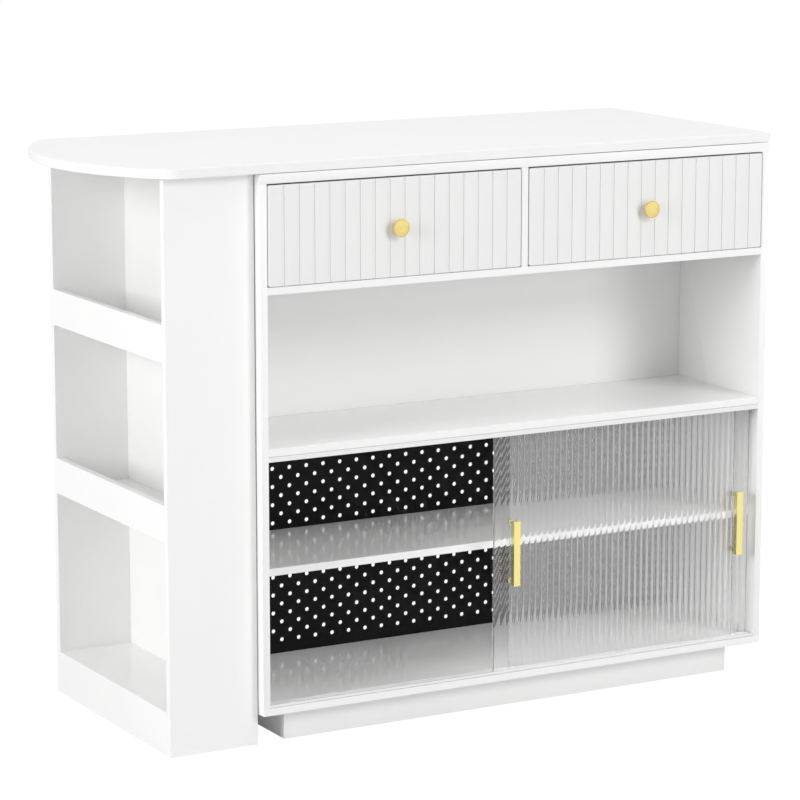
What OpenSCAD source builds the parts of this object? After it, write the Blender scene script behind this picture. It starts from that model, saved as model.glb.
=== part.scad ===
// Kitchen island unit: a worktop with a rounded end on an end tower with open shelves and on a
// cabinet with two drawers, an open bay and a lower bay behind two sliding fluted doors.
// Millimetres. X runs along the front, from left to right, Y runs from the front to the back and
// Z runs up. The origin is on the floor, in the middle of the overall width and depth.

/* [Worktop] */
// Height of the worktop's top above the floor
total_h = 920; // [890:1:960]
// Length of the worktop, along the front
worktop_w = 1193; // [1160:1:1300]
// Depth of the worktop, front to back
worktop_d = 493; // [460:1:600]
// Thickness of the worktop
worktop_t = 15; // [12:0.5:30]
// Radius of the wide arc of the rounded end
end_arc_r = 378; // [330:1:600]
// Radius of the two corner arcs of the rounded end
end_corner_r = 42; // [20:1:80]
// Worktop's overhang past the cabinet's front
front_overhang = 1; // [0:0.5:12]
// Worktop's overhang past the cabinet's right side
right_overhang = 3; // [0:0.5:20]
// Height of the pads between cabinet and worktop
pad_t = 1; // [0.5:0.1:4]
// Outer radius of a pad
pad_r = 9; // [7:0.5:14]
// Radius of a worktop screw's shank
worktop_screw_r = 2; // [1.5:0.1:3]
// Radius of a worktop screw's head
worktop_screw_head_r = 4; // [3:0.1:6]
// Thickness of a worktop screw's head
worktop_screw_head_t = 2; // [1.5:0.1:3]
// Depth of a worktop screw in the worktop
worktop_screw_bite = 10; // [6:0.5:11]
// Distance of the worktop's screws from the bays' sides and from their middle
worktop_screw_inset = 92; // [50:1:180]
// Distance of the worktop's front screws behind the cabinet's front
worktop_screw_front_y = 60; // [30:1:80]
// Distance between the worktop's front and back screws
worktop_screw_pitch_y = 119; // [60:1:140]

/* [Boards] */
// Thickness of the cabinet's boards
board_t = 12; // [9:0.5:18]
// Thickness of the cabinet's top board
top_board_t = 15; // [12:0.5:22]
// Thickness of the upper back panel
back_t = 3; // [2:0.5:6]
// Thickness of the perforated back panel
sheet_t = 1.5; // [1:0.1:3]
// Thickness of the tower's boards
tower_board_t = 12; // [9:0.5:18]

/* [Tower] */
// Width of the tower, along the front
tower_w = 152; // [130:1:200]
// Depth of the tower, front to back
tower_d = 440; // [360:1:450]
// Tower's setback behind the cabinet's front
tower_setback = 17; // [0:1:30]
// Gap between tower and cabinet
tower_gap = 2; // [1:0.5:6]
// Setback of the tower's divider from the right edges of its panels
divider_setback = 11; // [6:0.5:20]
// Height of the tower's floor above the ground
tower_floor_z = 70; // [40:1:90]
// Height of the lower shelf's top
lower_shelf_z = 352; // [250:1:420]
// Height of the upper shelf's top
upper_shelf_z = 633; // [520:1:720]
// Height of a retaining rail
rail_h = 59; // [40:1:80]

/* [Cabinet] */
// Width of the cabinet
cabinet_w = 946; // [900:1:960]
// Height of the plinth
plinth_h = 48.5; // [30:0.5:80]
// Clear height of the open bay
open_bay_h = 241.5; // [180:0.5:300]
// Clear height of the drawer bays
drawer_bay_h = 160; // [150:1:200]
// Clear depth of the lower bay, from the cabinet's front
lower_bay_d = 294; // [270:1:320]
// Clear depth of the upper bays, from the cabinet's front
upper_bay_d = 239; // [230:1:260]
// Plinth's setback behind the cabinet's front
plinth_setback = 24.5; // [10:0.5:40]
// Plinth's inset from the cabinet's left side
plinth_left_inset = 48; // [20:1:80]
// Plinth's inset from the cabinet's right side
plinth_right_inset = 53; // [20:1:80]
// Plinth's inset from the cabinet's back
plinth_back_inset = 12; // [0:1:40]

/* [Adjustable shelf] */
// Height of the shelf's underside above the lower bay's floor
shelf_z = 200; // [140:1:260]
// Setback of the shelf's front behind the cabinet's front
shelf_setback = 49; // [35:1:80]
// Clearance round the shelf
shelf_clear = 1; // [0.5:0.1:2]
// Radius of a shelf pin
pin_r = 2.5; // [1.5:0.1:3]
// Length of a shelf pin in the board
pin_depth = 8; // [5:0.5:8.5]
// Length of a shelf pin in the bay
pin_reach = 9; // [6:0.5:14]
// Clearance round a shelf pin in its hole
pin_clear = 0.05; // [0.02:0.01:0.1]
// Spacing of the pin holes up the side
pin_hole_pitch = 32; // [25:1:40]
// Distance of the front and back pins from the shelf's edges
pin_inset = 37; // [20:1:60]

/* [Sliding doors] */
// Width of a door
door_w = 469.5; // [464:0.5:474]
// Thickness of a door over the ridges between its flutes
door_t = 4; // [3.5:0.1:4.4]
// Depth of the flutes in a door's front
flute_depth = 0.8; // [0.5:0.05:1.5]
// Nominal pitch of the flutes
flute_pitch = 11.4; // [8:0.1:16]
// Width of the flat ridge between two flutes
ridge_w = 0.5; // [0.4:0.1:1.5]
// Gap between a shut door and the cabinet's side
door_end_gap = 7; // [3:0.5:10]
// Gap under a door in its groove
door_seat_clear = 0.3; // [0.2:0.1:0.6]
// Room above a door in its groove, for lifting it out
door_lift_clear = 3.7; // [3:0.1:4.5]
// Gap between the open door's edge and the other door's handle posts
door_stop_clear = 0.5; // [0.3:0.1:2]

/* [Door tracks] */
// Thickness of a track's front lip
track_lip_t = 4.5; // [3:0.5:6]
// Width of a track's groove
track_groove_w = 5; // [4.8:0.1:6]
// Thickness of a track's middle rib
track_rib_t = 2.5; // [2:0.1:4]
// Thickness of a track's back lip
track_back_t = 3; // [2:0.5:5]
// Thickness of a track's base
track_base_t = 1.2; // [0.8:0.1:2]
// Height of the lower track
lower_track_h = 5; // [4:0.5:8]
// Height of the upper track
upper_track_h = 8.5; // [8:0.5:12]
// Height of the shadow line between a track's front and its board
track_line_h = 0.8; // [0.4:0.1:1]
// Depth of that shadow line
track_line_d = 2; // [1:0.1:2.5]

/* [Door handles] */
// Length of a handle's bar
handle_h = 108; // [104:1:140]
// Width of a handle's bar
handle_w = 12; // [9:0.5:16]
// Thickness of a handle's bar
handle_t = 10; // [7:0.5:12]
// Distance between a handle's posts
handle_post_pitch = 96; // [64:1:96]
// Radius of a handle's post
handle_post_r = 3.5; // [3:0.1:4]
// Finger gap between a handle's bar and its door
handle_gap = 11; // [9:0.5:20]
// Height of the handles' middle above the lower bay's floor
handle_z = 202; // [160:1:240]
// Distance of a handle's middle from its door's edge
handle_inset = 31; // [26:0.5:40]
// Radius of a handle screw's shank
handle_screw_r = 1.9; // [1.5:0.1:2]
// Radius of a handle screw's head
handle_screw_head_r = 4; // [3:0.1:5]
// Thickness of a handle screw's head
handle_screw_head_t = 2.2; // [1.5:0.1:2.4]
// Depth of a handle screw in its post
handle_screw_bite = 10; // [6:0.5:14]
// Clearance round a screw in a drilled hole
screw_clear = 0.4; // [0.2:0.1:0.6]
// Clearance round a screw in a threaded hole
thread_clear = 0.1; // [0.05:0.01:0.2]
// Room past the tip of a screw or a bolt in a threaded hole
tip_room = 1; // [0.5:0.1:2]

/* [Drawers] */
// Thickness of a drawer's front
front_t = 13.5; // [10:0.5:16]
// Distance that a drawer's front stands out from the cabinet's front
front_proud = 1.5; // [0:0.1:3]
// Gap at the sides of a drawer's front
front_gap = 2; // [1.5:0.1:4]
// Gap above a drawer's front
front_top_gap = 2.5; // [1.5:0.1:6]
// Gap under a drawer's front
front_bottom_gap = 0.8; // [0.6:0.1:3]
// Nominal width of a slat of a drawer's front
slat_w = 26.6; // [20:0.1:40]
// Depth of a groove between two slats
groove_depth = 2; // [1:0.1:4]
// Width of a groove's sloping side
groove_slope_w = 6; // [2:0.1:9]
// Width of a groove's steep side
groove_step_w = 1.7; // [0.5:0.1:3]
// Length of a drawer's box behind its front
box_d = 200; // [180:1:205]
// Height of a drawer's box
box_h = 110; // [80:1:120]
// Height of a drawer box's underside above its bay's floor
box_lift = 12; // [6:0.5:20]
// Thickness of a drawer box's sides and back
box_t = 12; // [9:0.5:15]
// Thickness of a drawer's bottom
bottom_t = 3; // [2:0.5:6]
// Height of a drawer's bottom above its box's underside
bottom_lift = 8; // [5:0.5:14]
// Depth of the grooves that hold a drawer's bottom
bottom_groove = 5; // [3:0.5:6]

/* [Drawer runners] */
// Width that a runner takes beside a drawer's box
runner_w = 12.7; // [12:0.1:14]
// Height of a runner
runner_h = 35; // [28:1:45]
// Thickness of a runner's steel
runner_t = 1.2; // [0.8:0.1:2]
// Depth of a cabinet runner's channel
channel_w = 9.2; // [8:0.1:10.5]
// Width of a channel's lips
channel_lip = 5; // [3:0.5:7]
// Clearance between a runner's two members
runner_clear = 0.4; // [0.3:0.1:0.8]
// Height of a runner's middle above its drawer box's underside
runner_lift = 40; // [30:1:60]

/* [Knobs] */
// Radius of a knob's face
knob_r = 14.25; // [10:0.25:20]
// Radius of a knob's foot
knob_foot_r = 6.5; // [6:0.25:9]
// Reach of a knob in front of its drawer
knob_reach = 16.5; // [16:0.5:40]
// Radius of a knob's neck
knob_neck_r = 6; // [5:0.25:8]
// Distance of a knob's neck from its foot
knob_neck_y = 4; // [2:0.5:8]
// Thickness of a knob's rim
knob_rim_t = 2.2; // [1:0.1:5]
// Width of the slopes on both edges of a knob's rim
knob_edge = 0.7; // [0.2:0.1:1.5]
// Height of the dome on a knob's face
knob_dome = 1.4; // [0.5:0.1:3]
// Radius of a knob screw's shank
knob_screw_r = 1.9; // [1.5:0.1:2.5]
// Radius of a knob screw's head
knob_screw_head_r = 4; // [3:0.1:6]
// Thickness of a knob screw's head
knob_screw_head_t = 2.4; // [1.5:0.1:4]
// Depth of a knob screw in its knob
knob_screw_bite = 9; // [6:0.5:11]

/* [Joining fittings] */
// Radius of a joining bolt's shank
bolt_r = 3; // [2:0.25:4]
// Radius of a joining bolt's head
bolt_head_r = 6; // [5:0.25:9]
// Thickness of a joining bolt's head
bolt_head_t = 3.5; // [2:0.25:6]
// Depth of a joining bolt in the tower's divider
bolt_bite = 9; // [5:0.5:9]
// Outer radius of a spacer round a joining bolt
spacer_r = 8; // [6:0.5:12]
// Distance of the front joining bolts behind the cabinet's front
bolt_front_y = 77; // [50:1:110]
// Distance between the front and the back joining bolts
bolt_pitch_y = 120; // [60:1:120]
// Height of the lower joining bolts above the lower bay's floor
bolt_lower_z = 110; // [60:1:120]
// Height of the upper joining bolts above the open bay's floor
bolt_upper_z = 120; // [40:1:150]
// Distance of an angle bracket's middle from the tower's front or back
bracket_inset = 110; // [40:1:160]
// Length of an angle bracket's legs
bracket_leg = 30; // [20:1:40]
// Width of an angle bracket
bracket_w = 18; // [12:1:30]
// Thickness of an angle bracket
bracket_t = 2; // [1:0.1:3]

/* [Hidden] */
$fn = 64;
tiny = 0.01;                       // overlap of cutting tools past a face

white = [0.94, 0.94, 0.93];
gold = [0.93, 0.80, 0.42];
steel = [0.72, 0.73, 0.75];
black = [0.09, 0.09, 0.09];
glass = [0.80, 0.83, 0.84, 0.5];

// Heights, from the worktop down; the lower bay takes what is left above the bottom board
worktop_z = total_h - worktop_t;
cabinet_h = worktop_z - pad_t;
top_board_z = cabinet_h - top_board_t;
drawer_floor_top_z = top_board_z - drawer_bay_h;
drawer_floor_z = drawer_floor_top_z - board_t;
open_floor_top_z = drawer_floor_z - open_bay_h;
open_floor_z = open_floor_top_z - board_t;
bottom_top_z = plinth_h + board_t;

// Places along X
worktop_x0 = -worktop_w / 2;
cabinet_x1 = worktop_w / 2 - right_overhang;
cabinet_x0 = cabinet_x1 - cabinet_w;
tower_x1 = cabinet_x0 - tower_gap;
tower_x0 = tower_x1 - tower_w;
inner_x0 = cabinet_x0 + board_t;
inner_x1 = cabinet_x1 - board_t;
bay_w = (inner_x1 - inner_x0 - board_t) / 2;
tower_divider_x1 = tower_x1 - divider_setback;
tower_divider_x0 = tower_divider_x1 - tower_board_t;

// Places along Y
door_play = (track_groove_w - door_t) / 2;
handle_reach = handle_gap + handle_t - track_lip_t - door_play;
front_reach = max(knob_reach + front_proud, handle_reach, front_overhang);
front_y = (front_reach + front_overhang - worktop_d) / 2;
cabinet_y1 = front_y + lower_bay_d + back_t;
worktop_y0 = front_y - front_overhang;
worktop_y1 = worktop_y0 + worktop_d;
tower_y0 = front_y + tower_setback;
tower_y1 = tower_y0 + tower_d;
upper_back_y = front_y + upper_bay_d;
lower_back_y = front_y + lower_bay_d;

// Sliding doors: the left door runs in the front groove and the right door in the back groove
groove_y = [front_y + track_lip_t, front_y + track_lip_t + track_groove_w + track_rib_t];
track_d = groove_y[1] + track_groove_w + track_back_t - front_y;
lower_groove_z = bottom_top_z + track_base_t;
door_z = lower_groove_z + door_seat_clear;
door_h = open_floor_z - track_base_t - door_lift_clear - door_z;
right_door_x = inner_x1 - door_end_gap - door_w;
right_handle_x = right_door_x + door_w - handle_inset;
left_door_x = right_handle_x - handle_post_r - door_stop_clear - door_w;
left_handle_x = left_door_x + handle_inset;
handle_mid_z = bottom_top_z + handle_z;
flutes = round(door_w / flute_pitch);

// Drawers
front_w = bay_w - 2 * front_gap;
front_h = drawer_bay_h - front_bottom_gap - front_top_gap;
front_z = drawer_floor_top_z + front_bottom_gap;
face_y = front_y - front_proud;
box_y = face_y + front_t;
box_z = drawer_floor_top_z + box_lift;
box_w = bay_w - 2 * runner_w;
runner_z = box_z + runner_lift;
knob_z = front_z + front_h / 2;
slats = round(front_w / slat_w);

// Adjustable shelf
shelf_y = front_y + shelf_setback;
shelf_d = lower_back_y - shelf_clear - shelf_y;
shelf_bottom_z = bottom_top_z + shelf_z;
pin_z = shelf_bottom_z - pin_r;
pin_ys = [shelf_y + pin_inset, shelf_y + shelf_d - pin_inset];

// Fittings
bolt_places = [for (y = [bolt_front_y, bolt_front_y + bolt_pitch_y])
    for (z = [bottom_top_z + bolt_lower_z, open_floor_top_z + bolt_upper_z]) [front_y + y, z]];
inner_mid_x = (inner_x0 + inner_x1) / 2;
screw_xs = [inner_x0 + worktop_screw_inset, inner_mid_x - worktop_screw_inset,
    inner_mid_x + worktop_screw_inset, inner_x1 - worktop_screw_inset];
screw_ys = [front_y + worktop_screw_front_y,
    front_y + worktop_screw_front_y + worktop_screw_pitch_y];
screw_places = [for (x = screw_xs) for (y = screw_ys) [x, y]];
bracket_ys = [tower_y0 + bracket_inset, tower_y1 - bracket_inset];

// A board between two corners
module board(low, high) {
    translate(low) cube(high - low);
}

// A cylinder along X, from x0 to x1
module rod_x(x0, x1, y, z, r) {
    translate([x0, y, z]) rotate([0, 90, 0]) cylinder(r = r, h = x1 - x0);
}

// A cylinder along Y, from y0 to y1
module rod_y(x, y0, y1, z, r) {
    translate([x, y0, z]) rotate([-90, 0, 0]) cylinder(r = r, h = y1 - y0);
}

// A cylinder along Z, from z0 to z1
module rod_z(x, y, z0, z1, r) {
    translate([x, y, z0]) cylinder(r = r, h = z1 - z0);
}

// ---- Worktop ----

// Outline of the worktop: square at the right, and at the left one wide arc between two corner arcs
module worktop_outline() {
    mid_y = (worktop_y0 + worktop_y1) / 2;
    side = worktop_d / 2 - end_corner_r;
    arc_x = worktop_x0 + end_arc_r;
    reach = end_arc_r - end_corner_r;
    corner_x = arc_x - sqrt(reach * reach - side * side);
    past = 2;                      // the wedge ends outside the wide arc
    translate([corner_x, worktop_y0])
        square([worktop_w / 2 - corner_x, worktop_d]);
    for (end = [-1, 1])
        translate([corner_x, mid_y + end * side]) circle(r = end_corner_r, $fn = 96);
    intersection() {
        translate([arc_x, mid_y]) circle(r = end_arc_r, $fn = 360);
        polygon([
            [arc_x, mid_y],
            [arc_x + past * (corner_x - arc_x), mid_y - past * side],
            [arc_x + past * (corner_x - arc_x), mid_y + past * side]
        ]);
    }
}

module worktop() {
    color(white) difference() {
        translate([0, 0, worktop_z]) linear_extrude(worktop_t) worktop_outline();
        for (p = screw_places)
            rod_z(p[0], p[1], worktop_z - tiny, worktop_z + worktop_screw_bite + tip_room,
                worktop_screw_r + thread_clear);
    }
}

// Round pads that carry the worktop on the cabinet, one round each screw
module worktop_pads() {
    color("dimgray") for (p = screw_places) difference() {
        rod_z(p[0], p[1], cabinet_h, worktop_z, pad_r);
        rod_z(p[0], p[1], cabinet_h - tiny, worktop_z + tiny, worktop_screw_r + screw_clear);
    }
}

module worktop_screws() {
    color(steel) for (p = screw_places) {
        rod_z(p[0], p[1], top_board_z - worktop_screw_head_t, top_board_z, worktop_screw_head_r);
        rod_z(p[0], p[1], top_board_z, worktop_z + worktop_screw_bite, worktop_screw_r);
    }
}

// Angle brackets between the tower's divider and the worktop
module worktop_brackets() {
    color(steel) for (y = bracket_ys) translate([tower_divider_x0, y - bracket_w / 2, worktop_z])
        rotate([-90, 0, 0]) linear_extrude(bracket_w) polygon([
            [0, 0], [-bracket_leg, 0], [-bracket_leg, bracket_t], [-bracket_t, bracket_t],
            [-bracket_t, bracket_leg], [0, bracket_leg]
        ]);
}

// ---- Tower ----

module tower_side(y) {
    color(white) board([tower_x0, y, 0], [tower_x1, y + tower_board_t, worktop_z]);
}

module tower_front_panel() {
    tower_side(tower_y0);
}

module tower_back_panel() {
    tower_side(tower_y1 - tower_board_t);
}

module tower_divider() {
    color(white) difference() {
        board([tower_divider_x0, tower_y0 + tower_board_t, 0],
            [tower_divider_x1, tower_y1 - tower_board_t, worktop_z]);
        for (p = bolt_places)
            rod_x(tower_divider_x1 - bolt_bite - tip_room, tower_divider_x1 + tiny, p[0], p[1],
                bolt_r + thread_clear);
    }
}

// A board between the tower's front and back panels, from x0 to x1
module tower_cross_board(x0, x1, z0, z1) {
    color(white) board([x0, tower_y0 + tower_board_t, z0], [x1, tower_y1 - tower_board_t, z1]);
}

module tower_kickboard() {
    tower_cross_board(tower_x0, tower_x0 + tower_board_t, 0, tower_floor_z);
}

module tower_floor() {
    tower_cross_board(tower_x0 + tower_board_t, tower_divider_x0,
        tower_floor_z - tower_board_t, tower_floor_z);
}

// A shelf whose underside is level with its rail's
module tower_shelf(top_z) {
    tower_cross_board(tower_x0 + tower_board_t, tower_divider_x0, top_z - tower_board_t, top_z);
}

module tower_rail(shelf_top_z) {
    bottom_z = shelf_top_z - tower_board_t;
    tower_cross_board(tower_x0, tower_x0 + tower_board_t, bottom_z, bottom_z + rail_h);
}

module tower_lower_shelf() {
    tower_shelf(lower_shelf_z);
}

module tower_upper_shelf() {
    tower_shelf(upper_shelf_z);
}

module tower_lower_rail() {
    tower_rail(lower_shelf_z);
}

module tower_upper_rail() {
    tower_rail(upper_shelf_z);
}

// Spacers and bolts that join the tower's divider to the cabinet's left side
module joining_spacers() {
    color(steel) for (p = bolt_places) difference() {
        rod_x(tower_divider_x1, cabinet_x0, p[0], p[1], spacer_r);
        rod_x(tower_divider_x1 - tiny, cabinet_x0 + tiny, p[0], p[1], bolt_r + screw_clear);
    }
}

module joining_bolts() {
    color(steel) for (p = bolt_places) {
        rod_x(inner_x0, inner_x0 + bolt_head_t, p[0], p[1], bolt_head_r);
        rod_x(tower_divider_x1 - bolt_bite, inner_x0, p[0], p[1], bolt_r);
    }
}

// ---- Cabinet ----

// Rows of holes for the shelf pins, sunk from the inner face at x along the direction side
module pin_holes(x, side) {
    for (y = pin_ys) for (row = [-1, 0, 1])
        translate([x, y, pin_z + row * pin_hole_pitch]) rotate([0, 90 * side, 0])
            translate([0, 0, -tiny])
                cylinder(r = pin_r + pin_clear, h = pin_depth + pin_clear + tiny);
}

module cabinet_left_side() {
    color(white) difference() {
        board([cabinet_x0, front_y, bottom_top_z], [inner_x0, cabinet_y1, top_board_z]);
        pin_holes(inner_x0, -1);
        for (p = bolt_places)
            rod_x(cabinet_x0 - tiny, inner_x0 + tiny, p[0], p[1], bolt_r + screw_clear);
    }
}

module cabinet_right_side() {
    color(white) difference() {
        board([inner_x1, front_y, bottom_top_z], [cabinet_x1, cabinet_y1, top_board_z]);
        pin_holes(inner_x1, 1);
    }
}

module cabinet_bottom() {
    color(white) board([cabinet_x0, front_y, plinth_h], [cabinet_x1, cabinet_y1, bottom_top_z]);
}

module cabinet_top() {
    color(white) difference() {
        board([cabinet_x0, front_y, top_board_z], [cabinet_x1, cabinet_y1, cabinet_h]);
        for (p = screw_places)
            rod_z(p[0], p[1], top_board_z - tiny, cabinet_h + tiny, worktop_screw_r + screw_clear);
    }
}

module open_bay_floor() {
    color(white) board([inner_x0, front_y, open_floor_z], [inner_x1, cabinet_y1, open_floor_top_z]);
}

module drawer_bay_floor() {
    color(white)
        board([inner_x0, front_y, drawer_floor_z], [inner_x1, upper_back_y, drawer_floor_top_z]);
}

module drawer_divider() {
    color(white) board([inner_x0 + bay_w, front_y, drawer_floor_top_z],
        [inner_x1 - bay_w, upper_back_y, top_board_z]);
}

// Back of the open bay and of the drawer bays
module upper_back_panel() {
    color(white) board([inner_x0, upper_back_y, open_floor_top_z],
        [inner_x1, upper_back_y + back_t, top_board_z]);
}

// Back of the lower bay, whose staggered pinholes are left to its finish
module perforated_back_panel() {
    color(black)
        board([inner_x0, lower_back_y, bottom_top_z],
            [inner_x1, lower_back_y + sheet_t, open_floor_z]);
}

module adjustable_shelf() {
    color(white) board([inner_x0 + shelf_clear, shelf_y, shelf_bottom_z],
        [inner_x1 - shelf_clear, shelf_y + shelf_d, shelf_bottom_z + board_t]);
}

module shelf_pins() {
    color(steel) for (y = pin_ys) {
        rod_x(inner_x0 - pin_depth, inner_x0 + pin_reach, y, pin_z, pin_r);
        rod_x(inner_x1 - pin_reach, inner_x1 + pin_depth, y, pin_z, pin_r);
    }
}

// ---- Plinth ----

plinth_x0 = cabinet_x0 + plinth_left_inset;
plinth_x1 = cabinet_x1 - plinth_right_inset;
plinth_y0 = front_y + plinth_setback;
plinth_y1 = cabinet_y1 - plinth_back_inset;

module plinth_long_board(y) {
    color(white) board([plinth_x0, y, 0], [plinth_x1, y + board_t, plinth_h]);
}

module plinth_end(x) {
    color(white) board([x, plinth_y0 + board_t, 0], [x + board_t, plinth_y1 - board_t, plinth_h]);
}

module plinth_front() {
    plinth_long_board(plinth_y0);
}

module plinth_back() {
    plinth_long_board(plinth_y1 - board_t);
}

module plinth_left_end() {
    plinth_end(plinth_x0);
}

module plinth_right_end() {
    plinth_end(plinth_x1 - board_t);
}

// ---- Sliding doors ----

// A track with two grooves, whose base is at base_z and whose lips reach to lip_z; a shadow line
// parts its front from the board that it stands on
module track(base_z, lip_z) {
    up = sign(lip_z - base_z);
    module across(y0, y1, end, from_z, to_z) {
        board([inner_x0 - end, y0, min(from_z, to_z)], [inner_x1 + end, y1, max(from_z, to_z)]);
    }
    color(white) difference() {
        across(front_y, front_y + track_d, 0, base_z, lip_z);
        for (y = groove_y)
            across(y, y + track_groove_w, tiny, base_z + up * track_base_t, lip_z + up * tiny);
        across(front_y - tiny, front_y + track_line_d, tiny, base_z - up * tiny,
            base_z + up * track_line_h);
    }
}

module lower_track() {
    track(bottom_top_z, bottom_top_z + lower_track_h);
}

module upper_track() {
    track(open_floor_z, open_floor_z - upper_track_h);
}

// Plan of a door: a flat back and a row of hollow flutes in its front, each a slice of a circle
module door_plan() {
    pitch = door_w / flutes;
    half_w = (pitch - ridge_w) / 2;
    curve_r = (half_w * half_w + flute_depth * flute_depth) / (2 * flute_depth);
    difference() {
        square([door_w, door_t]);
        for (i = [0 : flutes - 1])
            translate([(i + 0.5) * pitch, flute_depth - curve_r]) circle(r = curve_r, $fn = 180);
    }
}

// A door at x in a groove, with two screw holes for the handle at handle_x
module door_glass(x, groove, handle_x) {
    y = groove + door_play;
    color(glass) difference() {
        translate([x, y, door_z]) linear_extrude(door_h) door_plan();
        for (end = [-1, 1])
            rod_y(handle_x, y - tiny, y + door_t + tiny, handle_mid_z + end * handle_post_pitch / 2,
                handle_screw_r + screw_clear);
    }
}

// A square bar on two posts, which stand on the front of a door
module door_handle(groove, handle_x) {
    y = groove + door_play;
    bar_y = y - handle_gap;
    color(gold) difference() {
        union() {
            board([handle_x - handle_w / 2, bar_y - handle_t, handle_mid_z - handle_h / 2],
                [handle_x + handle_w / 2, bar_y, handle_mid_z + handle_h / 2]);
            for (end = [-1, 1])
                rod_y(handle_x, bar_y - tiny, y, handle_mid_z + end * handle_post_pitch / 2,
                    handle_post_r);
        }
        for (end = [-1, 1])
            rod_y(handle_x, y - handle_screw_bite - tip_room, y + tiny,
                handle_mid_z + end * handle_post_pitch / 2, handle_screw_r + thread_clear);
    }
}

// The two screws of a door's handle, with their heads on the door's back
module door_screws(groove, handle_x) {
    y = groove + door_play;
    color(steel) for (end = [-1, 1]) {
        z = handle_mid_z + end * handle_post_pitch / 2;
        rod_y(handle_x, y - handle_screw_bite, y + door_t, z, handle_screw_r);
        rod_y(handle_x, y + door_t, y + door_t + handle_screw_head_t, z, handle_screw_head_r);
    }
}

module left_door_glass() {
    door_glass(left_door_x, groove_y[0], left_handle_x);
}

module left_door_handle() {
    door_handle(groove_y[0], left_handle_x);
}

module left_door_screws() {
    door_screws(groove_y[0], left_handle_x);
}

module right_door_glass() {
    door_glass(right_door_x, groove_y[1], right_handle_x);
}

module right_door_handle() {
    door_handle(groove_y[1], right_handle_x);
}

module right_door_screws() {
    door_screws(groove_y[1], right_handle_x);
}

// ---- Drawers ----

// Left edge of a drawer's bay: 0 is the left one and 1 is the right one
function bay_x(bay) = inner_x0 + bay * (bay_w + board_t);

function box_x(bay) = bay_x(bay) + runner_w;

function knob_x(bay) = bay_x(bay) + bay_w / 2;

// Plan of a drawer's front: each groove slopes in gently from the left and steps out steeply
function front_outline(w, pitch) = concat(
    [[0, front_t], [0, 0]],
    [for (i = [1 : slats - 1]) for (p = [
        [i * pitch - groove_slope_w, 0], [i * pitch, groove_depth], [i * pitch + groove_step_w, 0]
    ]) p],
    [[w, 0], [w, front_t]]
);

module drawer_front(bay) {
    x = bay_x(bay) + front_gap;
    color(white) difference() {
        translate([x, face_y, front_z]) linear_extrude(front_h)
            polygon(front_outline(front_w, front_w / slats));
        rod_y(knob_x(bay), face_y - tiny, box_y + tiny, knob_z, knob_screw_r + screw_clear);
        board([box_x(bay) + box_t - bottom_groove, box_y - bottom_groove, box_z + bottom_lift],
            [box_x(bay) + box_w - box_t + bottom_groove, box_y + tiny,
                box_z + bottom_lift + bottom_t]);
    }
}

// A side of a drawer's box, with the groove for the bottom in its inner face
module drawer_side(bay, right) {
    x = box_x(bay) + (right ? box_w - box_t : 0);
    groove_x = right ? x - tiny : x + box_t - bottom_groove;
    color(white) difference() {
        board([x, box_y, box_z], [x + box_t, box_y + box_d, box_z + box_h]);
        board([groove_x, box_y - tiny, box_z + bottom_lift],
            [groove_x + bottom_groove + tiny, box_y + box_d + tiny,
                box_z + bottom_lift + bottom_t]);
    }
}

// The back stands on the bottom, so the bottom can be slid in under it
module drawer_back(bay) {
    color(white) board(
        [box_x(bay) + box_t, box_y + box_d - box_t, box_z + bottom_lift + bottom_t],
        [box_x(bay) + box_w - box_t, box_y + box_d, box_z + box_h]);
}

module drawer_bottom(bay) {
    color(white) board(
        [box_x(bay) + box_t - bottom_groove, box_y - bottom_groove, box_z + bottom_lift],
        [box_x(bay) + box_w - box_t + bottom_groove, box_y + box_d,
            box_z + bottom_lift + bottom_t]);
}

// Section of a cabinet runner: a channel whose web stands on the bay's side, open along +X
module channel_section() {
    difference() {
        translate([0, -runner_h / 2]) square([channel_w, runner_h]);
        translate([runner_t, -runner_h / 2 + runner_t])
            square([channel_w - 2 * runner_t, runner_h - 2 * runner_t]);
        translate([runner_t, -runner_h / 2 + runner_t + channel_lip])
            square([channel_w, runner_h - 2 * runner_t - 2 * channel_lip]);
    }
}

// Section of a drawer runner: a head inside the channel and a neck to the drawer's side
module slider_section() {
    head_h = runner_h - 2 * runner_t - 2 * runner_clear;
    neck_h = head_h - 2 * channel_lip;
    head_x1 = channel_w - runner_t - runner_clear;
    difference() {
        union() {
            translate([runner_t + runner_clear, -head_h / 2])
                square([head_x1 - runner_t - runner_clear, head_h]);
            translate([runner_t + runner_clear, -neck_h / 2])
                square([runner_w - runner_t - runner_clear, neck_h]);
        }
        translate([0, -neck_h / 2 + runner_t])
            square([runner_w - runner_t, neck_h - 2 * runner_t]);
    }
}

// A pair of runner members along Y, one mirrored on each side of a bay
module runner_pair(bay, y, length) {
    for (right = [0, 1])
        translate([bay_x(bay) + right * bay_w, y + length, runner_z]) mirror([right, 0, 0])
            rotate([90, 0, 0]) linear_extrude(length) children();
}

module cabinet_runners(bay) {
    color(steel) runner_pair(bay, box_y + runner_clear, box_d) channel_section();
}

module drawer_runners(bay) {
    color(steel) runner_pair(bay, box_y, box_d) slider_section();
}

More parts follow.
